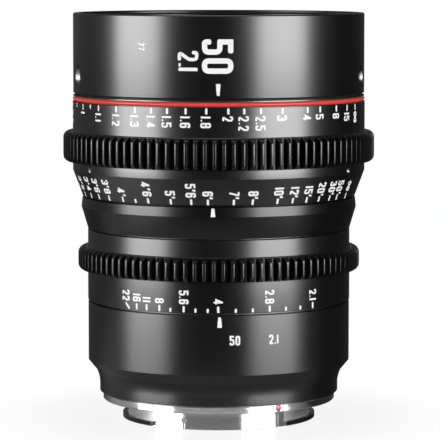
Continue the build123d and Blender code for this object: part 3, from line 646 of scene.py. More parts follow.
def new_object(name: str, data: bpy.types.ID) -> bpy.types.Object:
    """Puts a new object in the scene.

    Args:
        name: The object's name.
        data: Its mesh, lamp or camera.

    Returns:
        The object.
    """
    thing = bpy.data.objects.new(name, data)
    bpy.context.scene.collection.objects.link(thing)
    return thing


def smooth(mesh: bpy.types.Mesh, sharp: float) -> None:
    """Shades a mesh smooth but for the edges above an angle."""
    mesh.shade_smooth()
    mesh.set_sharp_from_angle(angle=math.radians(sharp))


def settle(piece: bpy.types.Object, modifier: bpy.types.Modifier) -> None:
    """Makes a modifier's result the plain mesh of its piece.

    Args:
        piece: The object.
        modifier: Its only modifier, which is removed.
    """
    bpy.context.view_layer.update()
    result = bpy.data.meshes.new_from_object(
        piece.evaluated_get(bpy.context.evaluated_depsgraph_get()))
    piece.modifiers.remove(modifier)
    piece.data = result


class Form:
    """A mesh in the making."""

    WELD = 2e-7

    def __init__(self) -> None:
        """Starts with no points."""
        self.points: list[Spot] = []
        self.faces: list[Face] = []

    def add(self, points: Iterable[Spot], faces: Iterable[Face]) -> None:
        """Adds points and the faces between them.

        Args:
            points: The new points.
            faces: Faces by the places of their corners among the new points.
        """
        start = len(self.points)
        self.points.extend(points)
        self.faces.extend(tuple(start + place for place in face) for face in faces)

    def lathe(self, outline: Outline) -> None:
        """Turns an outline about the lens axis.

        Args:
            outline: Closed outline of (radius, height).
        """
        count = len(outline)
        points, faces = [], []
        for row in range(TURN_STEPS):
            turn = math.radians(360.0 * row / TURN_STEPS - 90)
            points += [(radius * math.cos(turn), radius * math.sin(turn), height)
                       for radius, height in outline]
            faces += band(row * count, (row + 1) % TURN_STEPS * count, count, across=True)
        self.add(points, faces)

    def stud(self, azimuth: float, height: float, outer: float,
             rows: Sequence[Row]) -> None:
        """Adds a solid that is turned around an axis pointing out of the lens.

        Args:
            azimuth: Where its axis is.
            height: Height of its axis.
            outer: Distance from the lens axis that counts as depth zero.
            rows: Reach from its axis, one number or one for each step, and depth.
        """
        out = math.radians(azimuth - 90)
        points, faces = [], []
        for reaches, depth in rows:
            radial = outer + depth
            for step in range(WALL_STEPS):
                reach = reaches[step] if isinstance(reaches, list) else reaches
                turn = 2 * math.pi * step / WALL_STEPS
                side, up = reach * math.cos(turn), reach * math.sin(turn)
                points.append((radial * math.cos(out) - side * math.sin(out),
                               radial * math.sin(out) + side * math.cos(out), height + up))
        last = (len(rows) - 1) * WALL_STEPS
        for row in range(0, last, WALL_STEPS):
            faces += band(row, row + WALL_STEPS, WALL_STEPS)
        faces += [tuple(range(WALL_STEPS)), tuple(last + place for place in range(WALL_STEPS))]
        self.add(points, faces)

    def object(self, name: str, look: Look, sharp: float = SHARP) -> bpy.types.Object:
        """Makes the Blender object, smooth but for its sharp edges.

        Args:
            name: The piece's name.
            look: Its finish.
            sharp: Angle above which an edge stays sharp.

        Returns:
            The object, with its place in its mesh.
        """
        mesh = bpy.data.meshes.new(name)
        points = [tuple(MM * part for part in point) for point in self.points]
        mesh.from_pydata(points, [], self.faces)
        work = bmesh.new()
        work.from_mesh(mesh)
        bmesh.ops.remove_doubles(work, verts=work.verts, dist=self.WELD)
        bmesh.ops.recalc_face_normals(work, faces=work.faces)
        work.to_mesh(mesh)
        work.free()
        smooth(mesh, sharp)
        mesh.materials.append(look.material())
        return new_object(name, mesh)


class Graph(Bench):
    """A Geometry Nodes tree with named inputs, run once to give a plain mesh."""

    def __init__(self, name: str, look: Look) -> None:
        """Starts an empty tree.

        Args:
            name: The tree's name.
            look: The finish of its result.
        """
        super().__init__(bpy.data.node_groups.new(name, "GeometryNodeTree"))
        self.look = look
        for way in ("INPUT", "OUTPUT"):
            self.tree.interface.new_socket("Geometry", in_out=way, socket_type="NodeSocketGeometry")
        self.start = self.tree.nodes.new("NodeGroupInput")
        self.end = self.tree.nodes.new("NodeGroupOutput")
        self.sizes: dict[str, str] = {}

    def size(self, name: str, kind: str = "NodeSocketFloat") -> bpy.types.NodeSocket:
        """Adds a named input.

        Args:
            name: Its name.
            kind: Its type.

        Returns:
            Its socket inside the tree.
        """
        entry = self.tree.interface.new_socket(name, in_out="INPUT", socket_type=kind)
        self.sizes[name] = entry.identifier
        return self.start.outputs[name]

    def close(self, geometry: bpy.types.NodeSocket) -> None:
        """Ends the tree in Realize Instances and Set Material.

        Args:
            geometry: What the tree has made.
        """
        real = self.make("GeometryNodeRealizeInstances", None, {"Geometry": geometry})
        dressed = self.make("GeometryNodeSetMaterial", None, {
            "Geometry": real.outputs["Geometry"], "Material": self.look.material()})
        self.feed(self.end.inputs["Geometry"], dressed.outputs["Geometry"])

    def run(self, piece: bpy.types.Object, values: dict[str, float | int]) -> bpy.types.Object:
        """Runs the tree on an object and keeps the plain mesh.

        Args:
            piece: The object whose mesh the tree takes.
            values: The tree's inputs by name.

        Returns:
            The same object with its new mesh.
        """
        modifier = piece.modifiers.new(self.tree.name, "NODES")
        modifier.node_group = self.tree
        for name, value in values.items():
            modifier[self.sizes[name]] = value
        settle(piece, modifier)
        return piece


def around_axis(name: str, look: Look) -> Graph:
    """Tree that repeats a mesh evenly around the lens axis.

    Args:
        name: The tree's name.
        look: The finish of the result.

    Returns:
        The tree, with the inputs Count and Phase.
    """
    graph = Graph(name, look)
    count = graph.size("Count", "NodeSocketInt")
    phase = graph.size("Phase")
    points = graph.make("GeometryNodePoints", None, {"Count": count})
    index = graph.term(graph.make("GeometryNodeInputIndex"))
    turn = index * (2 * math.pi) / Term(graph, count) + Term(graph, phase)
    copies = graph.make("GeometryNodeInstanceOnPoints", None, {
        "Points": points.outputs[0], "Instance": graph.start.outputs["Geometry"],
        "Rotation": graph.vector(Z=turn)})
    graph.close(copies.outputs["Instances"])
    return graph


def joined(name: str, pieces: Sequence[bpy.types.Object], weld: float,
           sharp: float) -> bpy.types.Object:
    """Joins several objects into one mesh object of the first one's finish.

    Args:
        name: Name of the result.
        pieces: The objects, which are used up.
        weld: Distance in metres below which points become one.
        sharp: Angle above which an edge stays sharp.

    Returns:
        The joined object.
    """
    work = bmesh.new()
    for piece in pieces:
        work.from_mesh(piece.data)
    bmesh.ops.remove_doubles(work, verts=work.verts, dist=weld)
    mesh = bpy.data.meshes.new(name)
    work.to_mesh(mesh)
    work.free()
    mesh.materials.append(pieces[0].data.materials[0])
    smooth(mesh, sharp)
    for piece in pieces:
        bpy.data.objects.remove(piece)
    return new_object(name, mesh)


def wear(look: Look, *nodes: str) -> None:
    """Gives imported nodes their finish.

    Args:
        look: The finish.
        nodes: The nodes' names.
    """
    for node in nodes:
        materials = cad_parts[node].data.materials
        materials.clear()
        materials.append(look.material())
        LOG.info("%s wears %s", node, look.name)


def place_piece(piece: bpy.types.Object, body: str, slot: str | None = None, *nodes: str) -> None:
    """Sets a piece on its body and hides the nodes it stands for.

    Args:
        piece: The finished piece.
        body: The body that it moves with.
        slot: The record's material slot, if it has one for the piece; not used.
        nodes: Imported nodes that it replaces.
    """
    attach(piece, body)
    if nodes:
        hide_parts(*nodes)
    LOG.info("%s rides on %s, %d faces", piece.name, body, len(piece.data.polygons))


@dataclass(frozen=True)
class Slope:
    """A turned surface that carries marks, straight from one edge to the other.

    Attributes:
        low: Radius and height of the lower edge.
        high: Radius and height of the upper edge.
        lift: How far the filled marks stand proud.
    """

    low: Point
    high: Point
    lift: float = 0.012

    @property
    def run(self) -> Vector:
        """Way from the lower edge to the upper one."""
        return Vector(self.high) - Vector(self.low)

    def spot(self, azimuth: float, around: float, up: float, lift: float) -> Spot:
        """A point on the surface.

        Args:
            azimuth: Azimuth of the mark's own zero.
            around: Distance from there towards growing azimuth.
            up: Distance along the slope from the lower edge.
            lift: Distance above the surface.

        Returns:
            The point.
        """
        along = self.run.normalized()
        radius = self.low[0] + along.x * up
        height = self.low[1] + along.y * up
        turn = math.radians(azimuth - 90) + around / radius
        radius += along.y * (self.lift + lift)
        height -= along.x * (self.lift + lift)
        return radius * math.cos(turn), radius * math.sin(turn), height

    def up_of(self, height: float) -> float:
        """Distance along the slope from the lower edge to a height."""
        return (height - self.low[1]) * self.run.length / self.run.y


@dataclass(frozen=True)
class Digits:
    """Size of a number.

    Attributes:
        height: Height of its digits.
        weight: Stroke width in shares of the usual one.
    """

    height: float
    weight: float

    @property
    def stroke(self) -> float:
        """Width of a stroke."""
        return self.height * Numerals.STROKE * self.weight


class Numerals:
    """Single-stroke numerals as an engraving cutter draws them, one unit high."""

    WIDTH = 0.50
    STROKE = 0.185
    GAP = 0.09
    CORNER = 0.15
    CORNER_STEPS = 5

    def __init__(self) -> None:
        """Lays out the strokes in shares of the height, from the lower left corner."""
        half = self.STROKE / 2
        left, right, low, high = half, self.WIDTH - half, half, 1 - half
        waist, tongue, stem = 0.52, self.WIDTH / 2 - 0.04, right - 0.07

        def line(*points: Point, corner: float = self.CORNER) -> Stroke:
            """An open stroke."""
            return list(points), False, corner

        def loop(bottom: float, top: float, corner: float = self.CORNER) -> Stroke:
            """A closed stroke as wide as a digit."""
            return [(left, bottom), (right, bottom), (right, top), (left, top)], True, corner

        self.widths = {"1": self.STROKE + 0.05, "4": self.WIDTH + 0.06, ".": self.STROKE,
                       "'": self.STROKE + 0.04}
        self.strokes: dict[str, list[Stroke]] = {
            "0": [loop(low, high, 0.17)],
            "1": [line((half + 0.03, low), (half + 0.03, high), corner=0.0)],
            "2": [line((left, high - 0.17), (left, high), (right, high), (right, 0.56), (left, low),
                       (right, low))],
            "3": [line((left, high - 0.14), (left, high), (right, high), (right, waist),
                       (tongue, waist)),
                  line((tongue, waist), (right, waist), (right, low), (left, low),
                       (left, low + 0.14))],
            "4": [line((stem, high), (left, 0.30), (right + 0.06, 0.30), corner=0.0),
                  line((stem, high), (stem, low), corner=0.0)],
            "5": [line((right - 0.01, high), (left, high), (left, 0.54), corner=0.0),
                  line((left, 0.57), (right, 0.57), (right, low), (left, low), (left, low + 0.16))],
            "6": [loop(low, 0.57), line((left, 0.40), (left, high), (right, high),
                                        (right, high - 0.15))],
            "7": [line((left, high), (right, high), (left + 0.09, low), corner=0.05)],
            "8": [loop(low, 0.53), loop(0.53, high)],
            "9": [loop(0.43, high), line((right, 0.60), (right, low), (left, low),
                                         (left, low + 0.15))],
            ".": [line((half, low), (half, low + 0.03), corner=0.0)],
            "'": [line((half + 0.02, high + 0.02), (half - 0.03, high - 0.2), corner=0.0)],
        }

    def length(self, text: str, height: float) -> float:
        """Length of a number of that height."""
        shares = [self.widths.get(sign, self.WIDTH) for sign in text]
        return height * (sum(shares) + self.GAP * (len(shares) - 1))

    def lay(self, text: str, height: float) -> list[tuple[Outline, bool]]:
        """Strokes of a number, from its lower left corner.

        Args:
            text: Digits, points and foot marks.
            height: Height of the digits.

        Returns:
            Each stroke's middle line, and whether it is closed.
        """
        laid = []
        start = 0.0
        for sign in text:
            for points, closed, corner in self.strokes[sign]:
                line = fillet(points, corner, closed, self.CORNER_STEPS) if corner else points
                laid.append(([((x + start) * height, y * height) for x, y in line], closed))
            start += self.widths.get(sign, self.WIDTH) + self.GAP
        return laid


class Engraver:
    """Cuts filled strokes into one turned surface and gathers them in one mesh."""

    SINK = 0.05
    PIECE = 0.45
    CAP_STEPS = 6
    CAP_SHARE = 0.62
    LAYER = 0.0015
    LAYERS = 5
    LOOP_STEPS = 40
    WEDGE_CORNER = 0.12
    LEAST_LEAN = 0.35
    NEAR = 1e-9

    def __init__(self, low: Point, high: Point) -> None:
        """Starts with no marks.

        Args:
            low: Radius and height of the lower edge of the surface that carries the marks.
            high: Radius and height of its upper edge.
        """
        self.surface = Slope(low, high)
        self.form = Form()
        self.numerals = Numerals()
        self.layers = 0

    def stroke(self, azimuth: float, line: Outline, closed: bool, width: float) -> None:
        """Adds one stroke.

        Args:
            azimuth: Azimuth of the line's zero.
            line: Points (around, up) of its middle.
            closed: Whether it joins up.
            width: Its width.
        """
        sides = self._sides(self._fine(line, closed), closed, width / 2)
        lift = self.LAYER * (self.layers % self.LAYERS)
        self.layers += 1
        count = len(sides[0])
        points = [self.surface.spot(azimuth, x, y, depth)
                  for depth in (lift, -self.SINK) for side in sides for x, y in side]
        faces = []
        for here in range(count if closed else count - 1):
            beside = (here + 1) % count
            top = (here, beside, count + beside, count + here)
            faces += [
                top, tuple(2 * count + corner for corner in reversed(top)),
                (here, 2 * count + here, 2 * count + beside, beside),
                (count + beside, 3 * count + beside, 3 * count + here, count + here)]
        if not closed:
            faces += [tuple(end + row * count for row in (0, 1, 3, 2)) for end in (0, count - 1)]
        self.form.add(points, faces)

    def _fine(self, line: Outline, closed: bool) -> Outline:
        """Cuts long pieces of a stroke, so that it follows the surface.

        Args:
            line: Its middle line.
            closed: Whether it joins up.

        Returns:
            The line with more points.
        """
        fine: Outline = []
        ends = line + line[:1] if closed else line
        for start, end in zip(ends, ends[1:]):
            steps = max(1, math.ceil(math.dist(start, end) / self.PIECE))
            fine += [(start[0] + (end[0] - start[0]) * step / steps,
                      start[1] + (end[1] - start[1]) * step / steps) for step in range(steps)]
        return fine if closed else fine + [line[-1]]

    def _sides(self, line: Outline, closed: bool, half: float) -> tuple[Outline, Outline]:
        """Both edges of a stroke, with rounded ends where it is open.

        Args:
            line: Its middle line.
            closed: Whether it joins up.
            half: Half its width.

        Returns:
            The left edge and the right edge.
        """
        spots = [Vector(point) for point in line]
        count = len(spots)
        left, right = [], []
        for place, spot in enumerate(spots):
            before = spots[place - 1] if closed or place else spot
            after = spots[(place + 1) % count] if closed or place < count - 1 else spot
            first, second = ((way.normalized() if way.length > self.NEAR else None)
                             for way in (spot - before, after - spot))
            way = ((first or second) + (second or first)).normalized()
            lean = max(self.LEAST_LEAN, way.dot(second or first))
            aside = Vector((-way.y, way.x)) * (half / lean)
            left.append(spot + aside)
            right.append(spot - aside)
        if not closed:
            self._cap(left, right, (spots[0] - spots[1]).normalized(), half, True)
            self._cap(left, right, (spots[-1] - spots[-2]).normalized(), half, False)
        return [tuple(spot) for spot in left], [tuple(spot) for spot in right]

    def _cap(self, left: list[Vector], right: list[Vector], out: Vector, half: float,
             first: bool) -> None:
        """Rounds one end of a stroke.

        Args:
            left: Its left edge, which gets more points.
            right: Its right edge, likewise.
            out: Direction in which the stroke ends.
            half: Half its width.
            first: Whether it is the edges' first end.
        """
        place = 0 if first else len(left) - 1
        middle = (left[place] + right[place]) / 2
        side = (left[place] - right[place]) / 2
        for step in range(1, self.CAP_STEPS):
            turn = math.pi / 2 * step / self.CAP_STEPS
            shift = out * (half * self.CAP_SHARE * math.sin(turn))
            spot = 0 if first else len(left)
            left.insert(spot, middle + side * math.cos(turn) + shift)
            right.insert(spot, middle - side * math.cos(turn) + shift)

    def tick(self, azimuth: float, low: float, high: float, width: float,
             lean: float = 0.0) -> None:
        """Adds a tick.

        Args:
            azimuth: Azimuth of its foot.
            low: Height on the lens of its foot.
            high: Height of its top.
            width: Its width.
            lean: How far its top lies towards growing azimuth.
        """
        shift = math.radians(lean) * self.surface.low[0]
        ends = [(0.0, self.surface.up_of(low) + width / 3),
                (shift, self.surface.up_of(high) - width / 3)]
        self.stroke(azimuth, ends, False, width)

    def wedge(self, azimuth: float, low: float, high: float, low_width: float,
              high_width: float) -> None:
        """Adds an index mark that is wider at one end.

        Args:
            azimuth: Azimuth of its middle.
            low: Height on the lens of its foot.
            high: Height of its top.
            low_width: Width at its foot.
            high_width: Width at its top.
        """
        low_up, high_up = self.surface.up_of(low), self.surface.up_of(high)
        line = fillet([(-low_width / 2, low_up), (low_width / 2, low_up), (high_width / 2, high_up),
                       (-high_width / 2, high_up)], self.WEDGE_CORNER)
        count = len(line)
        points = [self.surface.spot(azimuth, x, y, lift) for lift in (0.0, -self.SINK)
                  for x, y in line]
        faces = [tuple(range(count)), tuple(reversed(range(count, 2 * count)))]
        self.form.add(points, faces + band(0, count, count, across=True))

    def number_down(self, azimuth: float, text: str, digits: Digits, top: float) -> None:
        """Adds a number that reads downwards, with its feet towards falling azimuth.

        Args:
            azimuth: Azimuth of the middle of the digits.
            text: The number.
            digits: Its size.
            top: Height on the lens where it begins.
        """
        start = self.surface.up_of(top)
        for line, closed in self.numerals.lay(text, digits.height):
            falling = [(y - digits.height / 2, start - x) for x, y in line]
            self.stroke(azimuth, falling, closed, digits.stroke)

    def number_across(self, azimuth: float, text: str, digits: Digits, low: float) -> None:
        """Adds an upright number.

        Args:
            azimuth: Azimuth of its left end.
            text: The number.
            digits: Its size.
            low: Height on the lens of its foot.
        """
        foot = self.surface.up_of(low)
        for line, closed in self.numerals.lay(text, digits.height):
            self.stroke(azimuth, [(x, y + foot) for x, y in line], closed, digits.stroke)

    def number_up_to(self, azimuth: float, text: str, digits: Digits, bottom: float) -> None:
        """Adds a number that reads downwards and ends at a height.

        Args:
            azimuth: Azimuth of the middle of the digits.
            text: The number.
            digits: Its size.
            bottom: Height on the lens where it ends.
        """
        run = self.surface.run
        length = self.numerals.length(text, digits.height)
        self.number_down(azimuth, text, digits, bottom + length * run.y / run.length)

    def lying_eight(self, azimuth: float, length: float, height: float, top: float,
                    width: float) -> None:
        """Adds the mark of infinity, which reads downwards.

        Args:
            azimuth: Azimuth of its middle.
            length: Its length.
            height: Its height across.
            top: Height on the lens where it begins.
            width: Width of its stroke.
        """
        start = self.surface.up_of(top) - length / 2
        line = []
        for step in range(self.LOOP_STEPS):
            turn = 2 * math.pi * step / self.LOOP_STEPS
            line.append((math.sin(2 * turn) * (height - width) / 2,
                         start - math.sin(turn) * (length - width) / 2))
        self.stroke(azimuth, line, True, width)

    def piece(self, name: str, body: str) -> None:
        """Makes the marks one piece that moves with a body."""
        place_piece(self.form.object(name, Finishes.INK, STUD_SHARP), body)


@dataclass
class Gear:
    """A drive gear: a turned blank with straight teeth whose ends are rounded.

    Attributes:
        node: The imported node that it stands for.
        body: The body that it moves with.
        seat: Radius of its seat.
        phase: Azimuth of one tooth.
        module: Size of the teeth.
        pressure: Angle of the teeth's sides.
        dedendum: Depth of a tooth below the pitch circle, in modules.
        end: Radius of the rounding at the teeth's ends.
        edge: Width of the broken edge along each tooth.
        root_corner: Rise, and turn in radians, of the corner at a tooth's root.
        pitch_swell: Share by which a tooth swells at the pitch circle.
        tip_swell: Turn in radians by which it swells at the tip.
        web: Depth and width of the step at the blank's ends.
        weld: Distance in metres below which the teeth's points become one.
        sharp: Angle above which an edge stays sharp.
        stations: Shares of the rounded end where a tooth has a section.
    """

    node: str
    body: str
    seat: float
    phase: float
    module: float = 0.8
    pressure: float = 20.0
    dedendum: float = 1.25
    end: float = 1.55
    edge: float = 0.09
    root_corner: Pair = (0.12, 0.0022)
    pitch_swell: float = 1.03
    tip_swell: float = 0.0006
    web: Pair = (0.05, 0.2)
    weld: float = 1e-6
    sharp: float = 28.0
    stations: Sequence[float] = (0.0, 0.08, 0.25, 0.5, 0.75, 1.0)

    def __post_init__(self) -> None:
        """Works out the gear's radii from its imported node."""
        self.low, self.high = span(self.node)
        self.teeth = round(2 * (outer_radius(self.node) - self.module) / self.module)
        self.pitch = self.module * self.teeth / 2
        self.tip = self.pitch + self.module
        self.root = self.pitch - self.dedendum * self.module

    def limit(self, height: float) -> float:
        """Radius that the rounded ends leave at a height."""
        fall = self.end - min(height - self.low, self.high - height, self.end)
        return self.tip - self.end + math.sqrt(max(self.end ** 2 - fall ** 2, 0.0))

    def tooth(self) -> Form:
        """One tooth with half of the gap on each side, at azimuth 90.

        Returns:
            The tooth's outer surface.
        """
        slope = math.tan(math.radians(self.pressure))
        half = self.module / self.pitch * math.pi / 4
        root_half = half + (self.pitch - self.root) * slope / self.root
        tip_half = half - (self.tip - self.pitch) * slope / self.tip
        rise, turn_in = self.root_corner
        right = [(self.root, math.pi / self.teeth), (self.root, root_half),
                 (self.root + rise, root_half - turn_in), (self.pitch, half * self.pitch_swell),
                 (self.tip - self.edge, tip_half + self.tip_swell),
                 (self.tip, tip_half - self.edge / self.tip)]
        section = [(radius, -turn) for radius, turn in right] + right[::-1]
        depths = [self.end * (1 - math.cos(share * math.pi / 2)) for share in self.stations]
        heights = ([self.low + depth for depth in depths]
                   + [self.high - depth for depth in reversed(depths)])
        points, faces = [], []
        for height in heights:
            for radius, turn in section:
                kept = min(radius, self.limit(height))
                points.append((kept * math.cos(turn), kept * math.sin(turn), height))
        count = len(section)
        for row in range(len(heights) - 1):
            faces += band(row * count, (row + 1) * count, count, closed=False)
        form = Form()
        form.add(points, faces)
        return form

    def build(self) -> None:
        """Builds the teeth and the blank, and puts them on their body."""
        look = GearFinish("satin_and_cut_" + self.node, self.tip)
        tooth = self.tooth().object(self.node + "_tooth", look)
        teeth = around_axis(self.node + "_teeth", look).run(
            tooth, {"Count": self.teeth, "Phase": math.radians(self.phase - 90)})
        end_r = min(self.root, self.limit(self.low))
        depth, width = self.web
        blank = Form()
        blank.lathe([(self.seat, self.low), (end_r, self.low), (end_r - depth, self.low + width),
                     (end_r - depth, self.high - width), (end_r, self.high),
                     (self.seat, self.high)])
        ring = joined("dressed_" + self.node, [teeth, blank.object(self.node + "_blank", look)],
                      self.weld, self.sharp)
        place_piece(ring, self.body, "gear_black", self.node)


@dataclass
class SetScrews:
    """Headless screws with hexagon sockets, and their holes in a barrel's wall.

    Attributes:
        node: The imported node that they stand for.
        body: The body that they move with.
        azimuths: Where they stand.
        height: Height of their axis.
        radius: Their radius.
        dish: Radius of the dish around the socket.
        wall: Radius of the wall.
        sink: How far their outer face lies below it.
        length: Their length.
        hole_depth: Depth of their holes.
        play: Gap around a screw.
        mouth: Size of the countersink at a hole's mouth.
        socket_share: Half the socket's width over the flats, in shares of the radius.
        bevel_share: Width of the socket's broken edge, in shares of the radius.
        rim_tilt: Slope at the dish's rim.
        rim: Width and drop of the flat around the dish.
        tilts: Slopes inside the dish.
        socket_depth: Depth of the socket at its wall and middle, in shares of the radius.
    """

    node: str
    body: str
    azimuths: Sequence[float]
    height: float
    radius: float
    dish: float
    wall: float
    sink: float
    length: float
    hole_depth: float
    play: float = 0.02
    mouth: float = 0.06
    socket_share: float = 0.52
    bevel_share: float = 0.056
    rim_tilt: float = 55.0
    rim: Pair = (0.1, 0.03)
    tilts: Sequence[float] = (48, 41, 34, 27)
    socket_depth: Pair = (1.0, 1.3)

    def drill(self, ring: bpy.types.Object) -> None:
        """Drills the screws' holes from the outside, with countersunk mouths.

        Args:
            ring: The ring that gets the holes.
        """
        form = Form()
        radius = self.dish + self.play
        for azimuth in self.azimuths:
            form.stud(azimuth, self.height, self.wall, [
                (POLE, -self.hole_depth), (radius, -self.hole_depth), (radius, -self.mouth),
                (radius + 3 * self.mouth, 2 * self.mouth), (POLE, 2 * self.mouth)])
        drill = form.object(ring.name + "_drill", Finishes.INNER)
        cut = ring.modifiers.new("drill", "BOOLEAN")
        cut.operation = "DIFFERENCE"
        cut.solver = "EXACT"
        cut.object = drill
        settle(ring, cut)
        bpy.data.objects.remove(drill)
        smooth(ring.data, SHARP)

    def build(self) -> None:
        """Builds the screws as one piece: bright dishes with a hexagon socket at the bottom."""
        rim_width, rim_drop = self.rim
        rise = math.cos(math.radians(self.rim_tilt))
        ball = (self.dish - rim_width) / math.sin(math.radians(self.rim_tilt))
        rows: list[Row] = [(self.dish, -self.length), (self.dish, -4 * rim_drop),
                           (self.dish - rim_width, -rim_drop)]
        rows += [(ball * math.sin(math.radians(tilt)),
                  -rim_drop - ball * (math.cos(math.radians(tilt)) - rise)) for tilt in self.tilts]
        floor = rows[-1][1]
        bevel = self.radius * self.bevel_share
        turns = [2 * math.pi * step / WALL_STEPS for step in range(WALL_STEPS)]
        hexagon = [self.radius * self.socket_share
                   / math.cos((turn + math.pi / 6) % (math.pi / 3) - math.pi / 6) for turn in turns]
        wall_end, tip_end = (floor - self.radius * share for share in self.socket_depth)
        rows += [([reach + bevel for reach in hexagon], floor), (hexagon, floor - bevel),
                 (hexagon, wall_end), (POLE, tip_end)]
        form = Form()
        for azimuth in self.azimuths:
            form.stud(azimuth, self.height, self.wall - self.sink, rows)
        screws = form.object("dressed_" + self.node, Finishes.DISH, STUD_SHARP)
        place_piece(screws, self.body, "black_screw", self.node)


def dress_ring(node: str, body: str, look: Look, edge: float, outline: Outline,
               screws: SetScrews | None = None, slot: str = "barrel_black") -> None:
    """Puts a ring, turned from an outline whose corners are broken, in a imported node's place.

    Args:
        node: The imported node.
        body: The body that the ring moves with.
        look: The ring's finish.
        edge: Radius of its corners.
        outline: Closed outline of (radius, height).
        screws: Screws that stand in it and need their holes.
        slot: The record's material slot.
    """
    form = Form()
    form.lathe(fillet(outline, edge))
    ring = form.object("dressed_" + node, look)
    if screws:
        screws.drill(ring)
    place_piece(ring, body, slot, node)


def dress_footed_ring(node: str, body: str, seat: float, chamfer: float = 0.0) -> None:
    """Puts a clamped ring, whose foot widens at 45 degrees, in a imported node's place.

    Args:
        node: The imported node.
        body: The body that the ring moves with.
        seat: Radius of its seat.
        chamfer: Size of its upper edge.
    """
    out, gap, edge = 0.24, 0.02, 0.06
    low, high, outer = turned(node)
    top = [(outer, high - chamfer), (outer - chamfer, high)] if chamfer else [(outer, high)]
    dress_ring(node, body, Finishes.RING, 0.02, [
        (seat, low + gap), (outer + out, low + gap), (outer + out, low + edge),
        (outer, low + edge + out), *top, (seat, high)])


